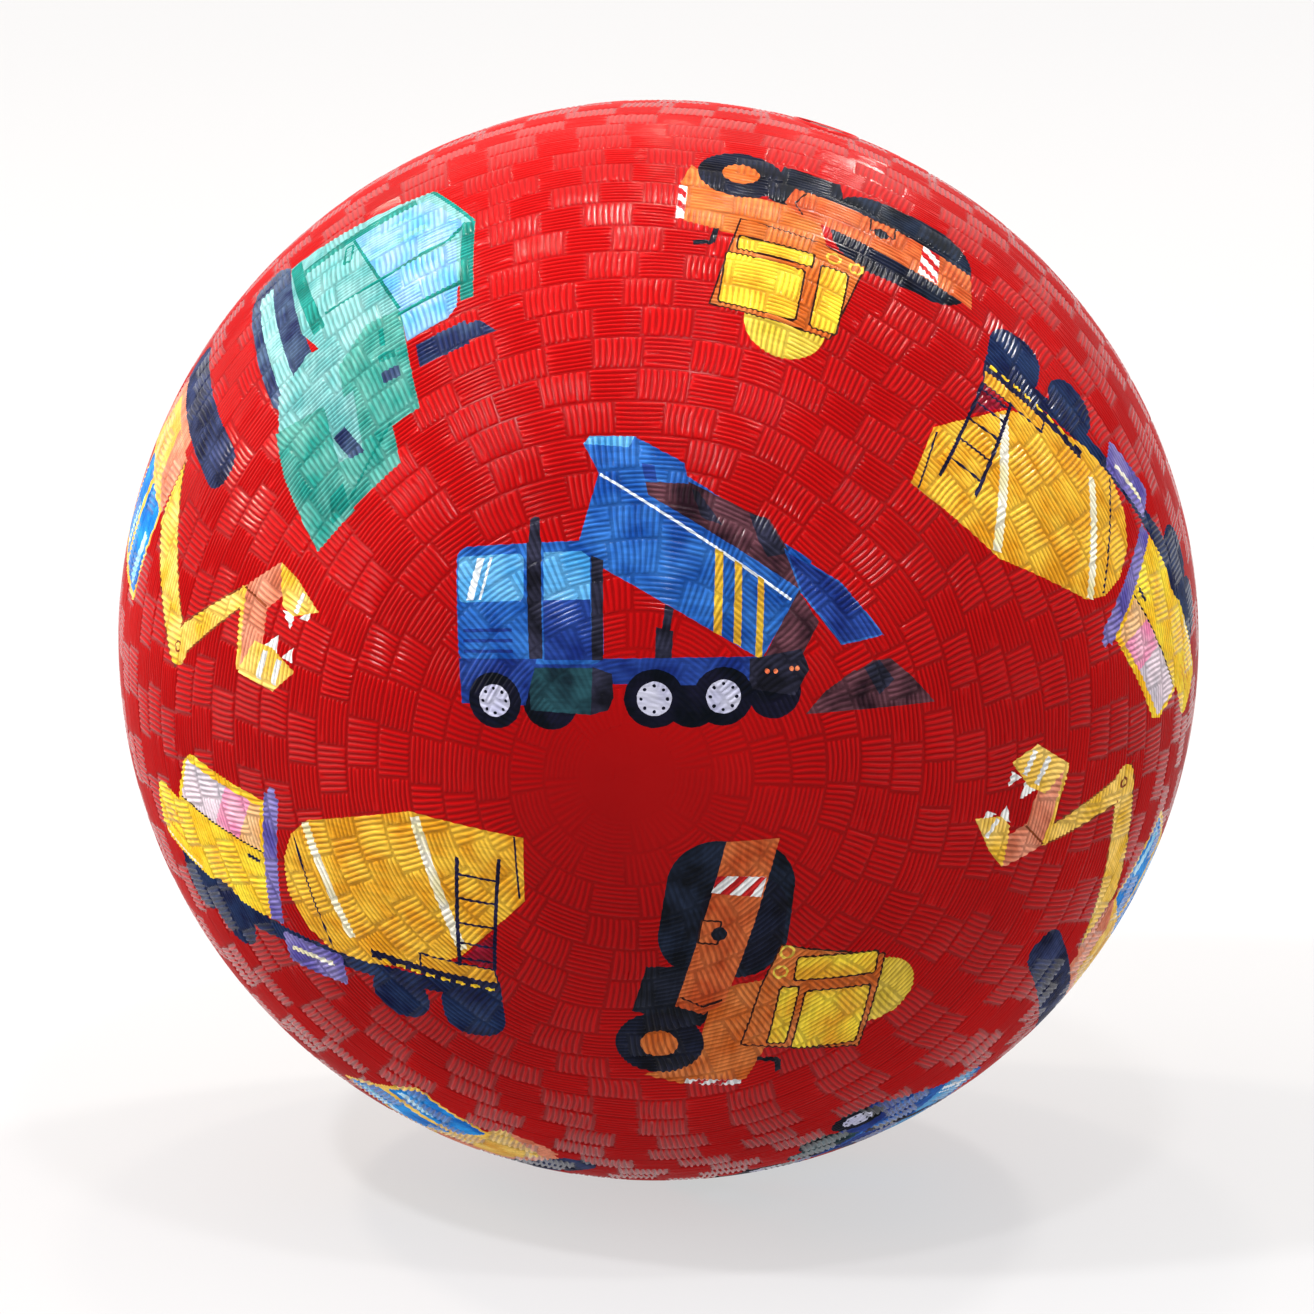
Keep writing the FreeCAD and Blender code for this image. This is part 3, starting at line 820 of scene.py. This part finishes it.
def bulldozer():
    inks = {
        "teal": ((30, 130, 120), (90, 160, 150)),
        "deep": ((10, 110, 100), (30, 140, 130)),
        "pale": ((90, 160, 160), (130, 180, 180)),
        "glass": ((90, 160, 210), (140, 180, 220)),
        "track": ((30, 40, 80), (70, 90, 120)),
        "gap": ((120, 180, 180), (150, 200, 200)),
    }
    shapes = [
        convex(
            "track",
            (-46, -23), (-42, -19), (-6, -10.4), (0.6, -12.6), (2, -16.6), (-3, -20.6),
            (-38, -28.6), (-44, -28.4),
        ),
        bar("gap", -38, -24.4, -4, -16.6, 3.4),
        convex("pale", (-40.5, 13), (-24.5, 21), (-8, 20), (-6, -8), (-15, -13), (-41, -18.6)),
        convex("pale", (-8, 2), (4, 1), (8, -6), (6, -20.6), (-4, -19), (-9, -12)),
        convex("teal", (-8, 6.6), (13.6, 7), (15, 0.6), (15, -6), (-2, -6), (-8, 0)),
        convex("teal", (13.6, 1.6), (22, 1.3), (26, -11), (14, -10)),
        convex("pale", (4, -4), (16, -4.6), (16, -12), (6, -13)),
        convex("teal", (4, -10), (26, -9.4), (29.4, -19.2), (13, -21), (3, -20.8)),
        convex("track", (10, -7), (16.6, -4.4), (16.6, -7.4), (11, -9.6)),
        convex("deep", (20, -10), (24.6, -10), (26.4, -14.6), (21, -13.2)),
        bar("deep", -40.5, -17.2, -13, -9.2, 2.6),
        bar("deep", -38.6, 9.6, -34, -14, 2.6),
        convex("glass", (-37.6, 11.8), (-24.4, 19.4), (-20.4, 16.2), (-17.4, 3.2), (-34.4, -2.8)),
        convex("glass", (-20, 17.6), (-9.2, 17.2), (-7.4, 6.4), (-17.4, 3.4)),
        convex("glass", (-8.4, 17.2), (-3.4, 16.4), (-1.8, 14.6), (-0.4, 6.9), (-7.4, 6.5)),
        bar("deep", -24.4, 20.2, -4.4, 18.4, 2.4),
        bar("deep", -40.5, 12.8, -24.4, 21, 0.8),
        bar("deep", -21, 16.6, -17.2, 2.4, 0.8),
        bar("deep", -24.6, 19.6, -20.6, 16.2, 0.8),
        bar("deep", -17.4, 3.4, -16.4, -8, 0.6),
        bar("deep", -8.8, 18, -7, 6, 0.8),
        bar("deep", -34.4, -2.8, -8, 6.4, 0.6),
        bar("gap", -33, 8, -30, -1, 1.0),
        bar("gap", -28, 12, -25, 1, 1.6),
        block("deep", -30.4, -3.6, 2.9, 1.0, 0.5),
        block("pale", -30.4, -3.6, 2.3, 0.5, 0.3),
        block("deep", -3.6, 2.6, 2.0, 0.5, 0.2),
        block("track", 4.8, 3.2, 1.2, 1.6, 0.3),
        block("deep", 0.8, 3.0, 0.8, 1.6, 0.3),
        bar("deep", 14, 1.4, 24, -10, 0.5),
        convex("track", (0.2, 17.6), (5.2, 17.6), (6.2, 8.4), (1.2, 8.4)),
        convex("track", (1, 20), (4.4, 22.6), (4.4, 17), (1, 17)),
    ]
    return inks, shapes


def road_roller():
    inks = {
        "drum": ((10, 15, 25), (30, 40, 60)),
        "tyre": ((10, 10, 20), (25, 30, 50)),
        "arm": ((180, 70, 30), (210, 110, 60)),
        "orange": ((190, 90, 30), (210, 120, 60)),
        "amber": ((220, 160, 40), (240, 210, 60)),
        "yellow": ((200, 170, 50), (230, 200, 80)),
        "line": ((40, 20, 20), (60, 30, 20)),
        "red": ((180, 20, 30), (200, 40, 40)),
        "white": ((220, 220, 220), (240, 240, 240)),
        "black": ((10, 15, 25), (30, 35, 50)),
    }
    shapes = [
        block("drum", -11.4, -8.2, 13.7, 11.4, 8.6),
        block("tyre", -9, -5.2, 9.4, 7.6, 6.4),
        convex("black", (0.5, -13), (1.5, -20.6), (12, -21.6), (14, -9), (7, -6)),
        convex("orange", (2.5, 0.8), (5, -8), (28.6, -9), (28.4, 1.6), (19, 3.4)),
        convex("orange", (22, -8), (28.8, -17), (30.2, -10), (28.6, -4)),
        convex("arm", (-26, -0.5), (-25, -10), (9.5, -14.2), (11, -9), (8, -5.8)),
        convex("white", (-18.4, -2), (-18.2, -10.8), (-14.8, -11.4), (-14.4, -2.6)),
        convex("red", (-18.3, -5.2), (-18.3, -7.0), (-14.6, -10.0), (-14.6, -8.2)),
        convex("red", (-18.4, -2.0), (-18.3, -3.2), (-14.5, -6.2), (-14.5, -4.6)),
        convex("red", (-18.3, -9.0), (-18.2, -10.8), (-16.6, -11.1), (-15.6, -11.2)),
        *framed("line", "arm", -6.9, -10.6, 2.5, 1.9, 0.3),
        disc("black", -6.7, -8.9, 1.4),
        bar("line", 7.4, -6.2, 9.2, -9.4, 0.35),
        bar("line", 9.2, -9.4, 7.4, -13.8, 0.35),
        disc("yellow", 7.2, 22.2, 7.4),
        disc("tyre", 19.5, -15.6, 8.0),
        disc("orange", 19.5, -15.6, 3.4),
        convex("orange", (-4.5, 2.4), (-1, 22), (21, 21.4), (18, -1), (4, 0.2), line="line"),
        *framed("line", "amber", 0.4, 13.2, 2.7, 7.8, 0.8),
        *framed("line", "amber", 12.6, 14.4, 7.3, 6.4, 0.8),
        *framed("line", "amber", 11.2, 5.2, 7.0, 1.9, 0.6),
        disc("yellow", -3.2, 3.6, 1.4),
        disc("orange", -3.2, 3.6, 0.95),
        disc("yellow", 1, 3.0, 1.4),
        disc("orange", 1, 3.0, 0.95),
        bar("black", 22.2, 2.6, 22.6, 6.6, 1.1),
        bar("black", 22.4, 6.4, 26, 7.2, 1.1),
        convex("white", (28.4, 1), (28.8, -9), (30.4, -9.4), (30, 1)),
        convex("red", (28.5, -1), (28.6, -3), (30.2, -4.6), (30.1, -2.6)),
        convex("red", (28.7, -5), (28.8, -7), (30.4, -8.6), (30.3, -6.6)),
    ]
    return inks, shapes


def excavator():
    inks = {
        "track": ((15, 20, 50), (50, 60, 100)),
        "yellow": ((230, 180, 50), (250, 210, 110)),
        "salmon": ((200, 110, 80), (230, 150, 120)),
        "amber": ((220, 160, 60), (240, 200, 100)),
        "blue": ((10, 100, 190), (40, 150, 230)),
        "sky": ((120, 200, 240), (190, 230, 250)),
        "white": ((220, 220, 220), (250, 250, 245)),
        "line": ((120, 50, 30), (150, 80, 40)),
    }
    shapes = [
        block("track", 21.5, -16.2, 23.6, 4.0, 3.6),
        block("salmon", 29, -10.8, 13, 1.4, 0.8),
        convex("amber", (12.6, 1.4), (13, -9.8), (44, -10.6), (46, -6), (43.6, 2.2)),
        convex("salmon", (12.6, 1.0), (13, -9.8), (24, -10), (21, -2)),
        convex("salmon", (38, -10.4), (44, -10.6), (46, -6), (44, 1.6)),
        block("yellow", 25.2, 9.6, 12.6, 9.2, 1.4),
        block("blue", 18.8, 9.4, 5.4, 8.2, 1.0),
        block("blue", 31.6, 9.4, 5.2, 8.2, 1.0),
        convex("sky", (15.4, 16.6), (18.2, 16.6), (16.8, 7), (14.6, 7)),
        convex("sky", (28.4, 16.6), (30.4, 16.6), (29, 8), (27.4, 8)),
        convex("yellow", (13.2, -8.9), (11.2, 1.2), (-8.3, 14.6), (-11, 15.6), (-10, 8.6), line="line"),
        convex("yellow", (-9.6, 8.6), (-10.9, 15.6), (-22.4, -3.9), (-20.8, -6.6), line="line"),
        disc("yellow", -10.4, 12.2, 3.2),
        disc("line", -10.4, 12.2, 1.0),
        disc("yellow", -10.4, 12.2, 0.65),
        convex("salmon", (-28.2, 5.0), (-20.8, -7.1), (-28.3, -7.7), (-31.5, -1.8)),
        convex("salmon", (-21.2, -7.3), (-25.8, -15.6), (-31.4, -14.4), (-28.4, -7.6)),
        bar("yellow", -28.2, 5.2, -21.0, -7.2, 1.0),
        bar("line", -21.4, -7.2, -28.2, -7.8, 0.4),
        convex("white", (-39.6, -3.6), (-38.2, -6.0), (-36.8, -3.0)),
        convex("white", (-35.6, -2.6), (-33.6, -5.6), (-31.4, -1.6)),
        convex("yellow", (-41, -2.5), (-38.1, 3.5), (-28.2, 5.6), (-29, -1.4), (-33.8, -3.0)),
        convex("white", (-38.4, -11.8), (-38, -14.2), (-36.2, -10.9)),
        convex("white", (-35.6, -8.2), (-34.9, -11), (-32, -9.8)),
        convex("yellow", (-39.6, -14.6), (-34.8, -10.4), (-31.4, -10.2), (-25.8, -15.7), (-31.4, -16.0)),
        bar("white", -37.6, 2.4, -36.4, -2.2, 1.3),
        bar("white", -33.6, 3.6, -32.4, -1.6, 1.3),
        bar("white", -35, -11.2, -34.2, -15, 1.0),
    ]
    return inks, shapes


# --- where the vehicles are printed

Vehicle = namedtuple("Vehicle", "kind outward right up shapes")
DRAWINGS = {
    "dump_truck": dump_truck,
    "mixer_truck": mixer_truck,
    "bulldozer": bulldozer,
    "road_roller": road_roller,
    "excavator": excavator,
}

# kind, azimuth, elevation and clockwise turn of the picture in degrees, size against the drawing
PLACES = [
    ("dump_truck", 1, 21, 0, 1.0),
    ("mixer_truck", -38, -15, 8, 1.0),
    ("mixer_truck", 57, 20, -127, 1.0),
    ("bulldozer", -45, 42, 48, 1.0),
    ("road_roller", 12, -22, 94, 0.95),
    ("road_roller", 39, 58, -139, 0.95),
    ("excavator", 59, -18, 43, 1.0),
    ("excavator", -66, 16, -160, 1.0),
    ("excavator", -73, -59, 7, 1.0),
    ("dump_truck", 64, -68, 70, 1.0),
    ("bulldozer", 118, 0, -12, 1.0),
    ("dump_truck", -120, -9, 14, 1.0),
    ("mixer_truck", -176, 54, 4, 1.0),
    ("road_roller", -178, 2, 100, 1.0),
    ("excavator", 150, -42, 25, 1.0),
    ("mixer_truck", -150, -48, 150, 1.0),
    ("road_roller", 130, 38, -60, 1.0),
    ("bulldozer", -128, 33, 30, 1.0),
]


def place_vehicle(kind, azimuth, elevation, turn, size):
    """A vehicle with the two picture axes, which hold its size."""
    outward = direction(azimuth, elevation)
    a = math.radians(azimuth)
    east = np.array([math.cos(a), math.sin(a), 0.0])
    north = np.cross(outward, east)
    t = math.radians(turn)
    up = math.cos(t) * north + math.sin(t) * east
    right = math.cos(t) * east - math.sin(t) * north
    return Vehicle(kind, outward, right / size, up / size, DRAWINGS[kind]()[1])


# Each picture lies within this window, and its material reaches past its shapes by the margin, in mm
WINDOW_HALF_WIDE = 60
WINDOW_HALF_TALL = 40
PRINT_MARGIN = 1.2

# Cosine of the widest angle from a picture's middle at which it is printed
FACING_LIMIT = 0.6


def vehicle_covers(vehicle, points):
    """Which points lie on or just beside the vehicle's picture."""
    ahead = points @ vehicle.outward
    facing = ahead > FACING_LIMIT * np.linalg.norm(points, axis=1)
    ahead = np.where(facing, ahead, 1.0)
    x = CREST_RADIUS * (points @ vehicle.right) / ahead
    y = CREST_RADIUS * (points @ vehicle.up) / ahead
    covered = np.zeros(len(points), bool)
    near = (np.abs(x) < WINDOW_HALF_WIDE) & (np.abs(y) < WINDOW_HALF_TALL)
    candidates = np.nonzero(facing & near)[0]
    x = x[candidates]
    y = y[candidates]
    for shape in vehicle.shapes:
        covered[candidates] |= depth_inside(shape, x, y) > -PRINT_MARGIN
    return covered


# --- node helpers

def linear(red, green, blue):
    """Linear colour from 0 to 255 screen values."""
    parts = [c / 255 for c in (red, green, blue)]
    parts = [c / 12.92 if c <= 0.04045 else ((c + 0.055) / 1.055) ** 2.4 for c in parts]
    return (*parts, 1.0)


class Nodes:
    """Short ways to add and join shader nodes in one tree."""

    def __init__(self, tree):
        self.tree = tree

    def add(self, kind, **settings):
        node = self.tree.nodes.new(kind)
        for name, value in settings.items():
            setattr(node, name, value)
        return node

    def feed(self, socket, value):
        if isinstance(value, bpy.types.NodeSocket):
            self.tree.links.new(value, socket)
        else:
            socket.default_value = value

    def math(self, operation, a, b=0.0):
        node = self.add("ShaderNodeMath", operation=operation)
        self.feed(node.inputs[0], a)
        self.feed(node.inputs[1], b)
        return node.outputs[0]

    def vector(self, operation, a, b=(0, 0, 0)):
        node = self.add("ShaderNodeVectorMath", operation=operation)
        self.feed(node.inputs[0], a)
        self.feed(node.inputs[1], b)
        scalar = operation in ("DOT_PRODUCT", "DISTANCE", "LENGTH")
        return node.outputs["Value" if scalar else "Vector"]

    def mix(self, factor, a, b, blend="MIX"):
        node = self.add("ShaderNodeMix", data_type="RGBA", blend_type=blend)
        self.feed(node.inputs[0], factor)
        self.feed(node.inputs[6], a)
        self.feed(node.inputs[7], b)
        return node.outputs[2]

    def noise(self, vector, scale, detail=2.0, dimensions="3D"):
        node = self.add("ShaderNodeTexNoise", noise_dimensions=dimensions)
        self.feed(node.inputs["Vector"], vector)
        node.inputs["Scale"].default_value = scale
        node.inputs["Detail"].default_value = detail
        return node

    def spread(self, value, low, high, to_low, to_high):
        node = self.add("ShaderNodeMapRange")
        for k, part in enumerate((value, low, high, to_low, to_high)):
            self.feed(node.inputs[k], part)
        return node.outputs[0]


# --- the printed picture as nodes

def shape_depth(nodes, place, shape):
    """Depth inside a shape, as a socket; place is (x, y, 1)."""
    if shape.kind == "convex":
        depth = None
        for side in edge_lines(shape.numbers):
            inside = nodes.vector("DOT_PRODUCT", place, side)
            depth = inside if depth is None else nodes.math("MINIMUM", depth, inside)
        return depth
    if shape.kind == "disc":
        x, y, radius = shape.numbers
        return nodes.math("SUBTRACT", radius, nodes.vector("DISTANCE", place, (x, y, 1)))
    x, y, wide, tall, corner = shape.numbers
    offset = nodes.vector("ABSOLUTE", nodes.vector("SUBTRACT", place, (x, y, 1)))
    over = nodes.vector("SUBTRACT", offset, (wide - corner, tall - corner, 0))
    over = nodes.vector("MAXIMUM", over, (0, 0, 0))
    return nodes.math("SUBTRACT", corner, nodes.vector("LENGTH", over))


# Ink edges wander by this many mm, blotches and slanting streaks vary each ink
WANDER = 0.22
STREAK_SLANT = math.radians(38)
STREAK_SCALE = (0.16, 1.5, 1.0)
STREAK_SHADES = (0.84, 1.12)


def picture_group(kind):
    """A node group that paints one kind of vehicle over a ground colour."""
    inks, shapes = DRAWINGS[kind]()
    tree = bpy.data.node_groups.new(f"picture_{kind}", "ShaderNodeTree")
    tree.interface.new_socket("Place", in_out="INPUT", socket_type="NodeSocketVector")
    tree.interface.new_socket("Ground", in_out="INPUT", socket_type="NodeSocketColor")
    tree.interface.new_socket("Color", in_out="OUTPUT", socket_type="NodeSocketColor")
    nodes = Nodes(tree)
    entry = nodes.add("NodeGroupInput")
    place = entry.outputs["Place"]

    wander = nodes.noise(place, 0.9, 1.0, "2D").outputs["Color"]
    wander = nodes.vector("SUBTRACT", wander, (0.5, 0.5, 0.5))
    place_inked = nodes.vector("ADD", place, nodes.vector("MULTIPLY", wander, (WANDER, WANDER, 0.0)))

    blotch = nodes.noise(place, 0.16, 3.0, "2D").outputs[0]
    blotch = nodes.spread(blotch, 0.34, 0.66, 0.0, 1.0)
    slant = nodes.add("ShaderNodeMapping")
    nodes.feed(slant.inputs["Vector"], place)
    slant.inputs["Rotation"].default_value = (0, 0, STREAK_SLANT)
    slant.inputs["Scale"].default_value = STREAK_SCALE
    streak = nodes.noise(slant.outputs[0], 1.0, 2.0, "2D").outputs[0]
    streak = nodes.spread(streak, 0.3, 0.7, *STREAK_SHADES)

    colours = {}
    for name, (dark, light) in inks.items():
        plain = nodes.mix(blotch, linear(*dark), linear(*light))
        colours[name] = nodes.mix(1.0, plain, streak, "MULTIPLY")

    colour = entry.outputs["Ground"]
    for shape in shapes:
        depth = shape_depth(nodes, place_inked, shape)
        if shape.line:
            colour = nodes.mix(nodes.math("GREATER_THAN", depth, -LINE_WIDTH), colour, colours[shape.line])
        colour = nodes.mix(nodes.math("GREATER_THAN", depth, 0.0), colour, colours[shape.ink])
    leave = nodes.add("NodeGroupOutput")
    nodes.feed(leave.inputs["Color"], colour)
    return tree


# --- materials

RED_DEEP = linear(163, 4, 7)
RED_BRIGHT = linear(181, 9, 11)
# Painted shade: share of the colour left at the bottom of the hollows, rising to full colour toward the
# crests
PAINTED_HOLLOW_SHADE = 0.62
HOLLOW_BELOW = 0.02
HOLLOW_ABOVE = 0.17
GLOSS_ROUGHNESS = (0.14, 0.20)
REFLECTION = 0.06
GRAIN_STRENGTH = 0.12
GRAIN_DEPTH = 0.1 * MM


def new_material(name):
    material = bpy.data.materials.new(name)
    material.use_nodes = True
    nodes = Nodes(material.node_tree)
    shader = material.node_tree.nodes["Principled BSDF"]
    spot = nodes.add("ShaderNodeTexCoord").outputs["Object"]
    return material, nodes, shader, spot


def red_ground(nodes, spot):
    """The cover's red, a little uneven."""
    cloud = nodes.noise(spot, 26.0, 3.0).outputs[0]
    return nodes.mix(nodes.spread(cloud, 0.35, 0.65, 0.0, 1.0), RED_DEEP, RED_BRIGHT)


def painted_hollow_shade(nodes, spot):
    """Painted shade: darkens the colour the lower the surface lies, down between the ridges."""
    radius = nodes.vector("LENGTH", spot)
    low = (BASE_RADIUS + HOLLOW_BELOW) * MM
    high = (CREST_RADIUS - HOLLOW_ABOVE) * MM
    return nodes.spread(radius, low, high, PAINTED_HOLLOW_SHADE, 1.0)


def cover_rubber(nodes, shader, spot, colour):
    """Satin rubber of a colour with painted shade in the hollows, uneven gloss and a fine grain."""
    # The colour is multiplied by the painted shade of the hollows
    shaded = nodes.mix(1.0, colour, painted_hollow_shade(nodes, spot), "MULTIPLY")
    nodes.feed(shader.inputs["Base Color"], shaded)
    cloud = nodes.noise(spot, 60.0, 2.0).outputs[0]
    nodes.feed(shader.inputs["Roughness"], nodes.spread(cloud, 0.3, 0.7, *GLOSS_ROUGHNESS))
    grain = nodes.noise(spot, 2600.0, 2.0).outputs[0]
    bump = nodes.add("ShaderNodeBump")
    bump.inputs["Strength"].default_value = GRAIN_STRENGTH
    bump.inputs["Distance"].default_value = GRAIN_DEPTH
    nodes.feed(bump.inputs["Height"], grain)
    nodes.feed(shader.inputs["Normal"], bump.outputs[0])
    shader.inputs["Specular IOR Level"].default_value = REFLECTION


def cover_material():
    material, nodes, shader, spot = new_material("cover_red_rubber")
    cover_rubber(nodes, shader, spot, red_ground(nodes, spot))
    return material


def print_material(number, vehicle, group):
    """The red rubber with one vehicle printed on it."""
    material, nodes, shader, spot = new_material(f"print_{number + 1}_{vehicle.kind}")
    ahead = nodes.vector("DOT_PRODUCT", spot, tuple(vehicle.outward))
    x = nodes.vector("DOT_PRODUCT", spot, tuple(vehicle.right * CREST_RADIUS))
    y = nodes.vector("DOT_PRODUCT", spot, tuple(vehicle.up * CREST_RADIUS))
    place = nodes.add("ShaderNodeCombineXYZ")
    nodes.feed(place.inputs[0], nodes.math("DIVIDE", x, ahead))
    nodes.feed(place.inputs[1], nodes.math("DIVIDE", y, ahead))
    place.inputs[2].default_value = 1.0
    picture = nodes.add("ShaderNodeGroup", node_tree=group)
    nodes.feed(picture.inputs["Place"], place.outputs[0])
    nodes.feed(picture.inputs["Ground"], red_ground(nodes, spot))
    cover_rubber(nodes, shader, spot, picture.outputs["Color"])
    return material


def plain_rubber(name, dark, light, roughness):
    """A one-colour rubber with cloudy shade and gloss."""
    material, nodes, shader, spot = new_material(name)
    cloud = nodes.noise(spot, 90.0, 3.0).outputs[0]
    blend = nodes.spread(cloud, 0.35, 0.65, 0.0, 1.0)
    nodes.feed(shader.inputs["Base Color"], nodes.mix(blend, linear(*dark), linear(*light)))
    nodes.feed(shader.inputs["Roughness"], nodes.spread(cloud, 0.3, 0.7, roughness, roughness + 0.12))
    return material


def dress_frame():
    """Materials for the CAD nodes that stay visible."""
    finishes = {
        "bladder": plain_rubber("bladder_rubber", (26, 24, 24), (44, 40, 38), 0.5),
        "valve_patch": plain_rubber("patch_rubber", (30, 28, 28), (50, 46, 44), 0.55),
        "valve_housing": plain_rubber("valve_rubber", (150, 14, 18), (176, 22, 26), 0.38),
        "valve_core": plain_rubber("core_rubber", (92, 8, 12), (120, 14, 18), 0.42),
    }
    for name, material in finishes.items():
        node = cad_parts[name]
        for slot in node.material_slots:
            slot.link = "OBJECT"
            slot.material = material


# --- stage, light and camera

FLOOR_Z = -CREST_RADIUS * MM
CAMERA_DISTANCE = 4.0
CAMERA_ELEVATION = 15.0
LENS = 666.6
AIM_DOWN = 2.79 * MM
AIM_LEFT = 0.25 * MM
FLOOR_HALF = 8.0
FLOOR_DARK = linear(113, 113, 115)
FLOOR_LIGHT = linear(117, 117, 119)
FLOOR_GLOW = 0.58
SKY_STRENGTH = 0.7
WHITE = (1.0, 1.0, 1.0)
WARM = (1.0, 0.88, 0.74)
WARM_WHITE = (1.0, 0.95, 0.88)

# name, azimuth, elevation, distance, width and height, power, tint
SOFTBOXES = [
    ("backdrop", 180, 20, 3.0, (3.0, 1.4), 6.5, WARM),
    ("left_wall", -92, 24, 2.2, (1.6, 1.2), 26.0, WARM_WHITE),
    ("back_left", -125, 48, 1.1, (0.09, 0.07), 5.0, WARM),
    ("back_top", 180, 62, 1.1, (0.09, 0.06), 2.8, WARM),
    ("front_left", -60, 54, 1.1, (0.10, 0.07), 7.5, WHITE),
    ("front_top", 20, 70, 1.1, (0.10, 0.07), 4.0, WHITE),
    ("back_right", 141, 52, 1.1, (0.10, 0.08), 6.0, WARM_WHITE),
    ("front_right", 70, 30, 2.2, (1.2, 0.9), 7.0, WHITE),
]


def make_floor():
    mesh = bpy.data.meshes.new("floor")
    signs = ((-1, -1), (1, -1), (1, 1), (-1, 1))
    corners = [(x * FLOOR_HALF, y * FLOOR_HALF, FLOOR_Z) for x, y in signs]
    mesh.from_pydata(corners, [], [(0, 1, 2, 3)])
    floor = bpy.data.objects.new("floor", mesh)
    material, nodes, shader, spot = new_material("floor_paper")
    cloud = nodes.noise(spot, 3.0, 2.0).outputs[0]
    nodes.feed(shader.inputs["Base Color"], nodes.mix(cloud, FLOOR_DARK, FLOOR_LIGHT))
    shader.inputs["Roughness"].default_value = 0.9
    shader.inputs["Specular IOR Level"].default_value = 0.1
    shader.inputs["Emission Color"].default_value = (*WHITE, 1.0)
    shader.inputs["Emission Strength"].default_value = FLOOR_GLOW
    mesh.materials.append(material)
    bpy.context.scene.collection.objects.link(floor)


def hang_lamp(name, light, azimuth, elevation, distance, tint):
    """A lamp that faces the ball's centre from a direction."""
    light.color = tint
    lamp = bpy.data.objects.new(name, light)
    toward = Vector(direction(azimuth, elevation))
    lamp.location = toward * distance
    lamp.rotation_euler = toward.to_track_quat("Z", "Y").to_euler()
    bpy.context.scene.collection.objects.link(lamp)


def make_softbox(name, azimuth, elevation, distance, size, power, tint):
    light = bpy.data.lights.new(name, "AREA")
    light.shape = "RECTANGLE"
    light.size, light.size_y = size
    light.energy = power
    hang_lamp(name, light, azimuth, elevation, distance, tint)


def make_light():
    world = bpy.data.worlds.new("studio")
    world.use_nodes = True
    sky = world.node_tree.nodes["Background"]
    sky.inputs["Color"].default_value = (*WHITE, 1.0)
    sky.inputs["Strength"].default_value = SKY_STRENGTH
    bpy.context.scene.world = world
    sun = bpy.data.lights.new("overhead", "SUN")
    sun.energy = 0.8
    sun.angle = math.radians(80)
    hang_lamp("overhead", sun, 180, 80, 0.0, WARM_WHITE)
    for entry in SOFTBOXES:
        make_softbox(*entry)
    bpy.context.scene.view_settings.view_transform = "Standard"


def make_camera():
    camera = bpy.data.cameras.new("camera")
    camera.lens = LENS
    camera.sensor_width = 36.0
    view = bpy.data.objects.new("camera", camera)
    toward = Vector(direction(0.0, CAMERA_ELEVATION))
    turned = toward.to_track_quat("Z", "Y")
    shift = turned @ Vector((-AIM_LEFT, -AIM_DOWN, 0.0))
    view.location = toward * CAMERA_DISTANCE + shift
    view.rotation_euler = turned.to_euler()
    bpy.context.scene.collection.objects.link(view)
    bpy.context.scene.camera = view


def build_cover():
    groups = {kind: picture_group(kind) for kind in DRAWINGS}
    vehicles = [place_vehicle(*entry) for entry in PLACES]
    prints = [(v, print_material(k, v, groups[v.kind])) for k, v in enumerate(vehicles)]
    ground = cover_material()
    inside = plain_rubber("cover_inside", (120, 10, 14), (140, 16, 20), 0.5)
    panels, points = build_panels()
    for number, panel in enumerate(panels):
        make_panel(number, panel, points, ground, inside, prints)


build_cover()
dress_frame()
make_floor()
make_light()
make_camera()
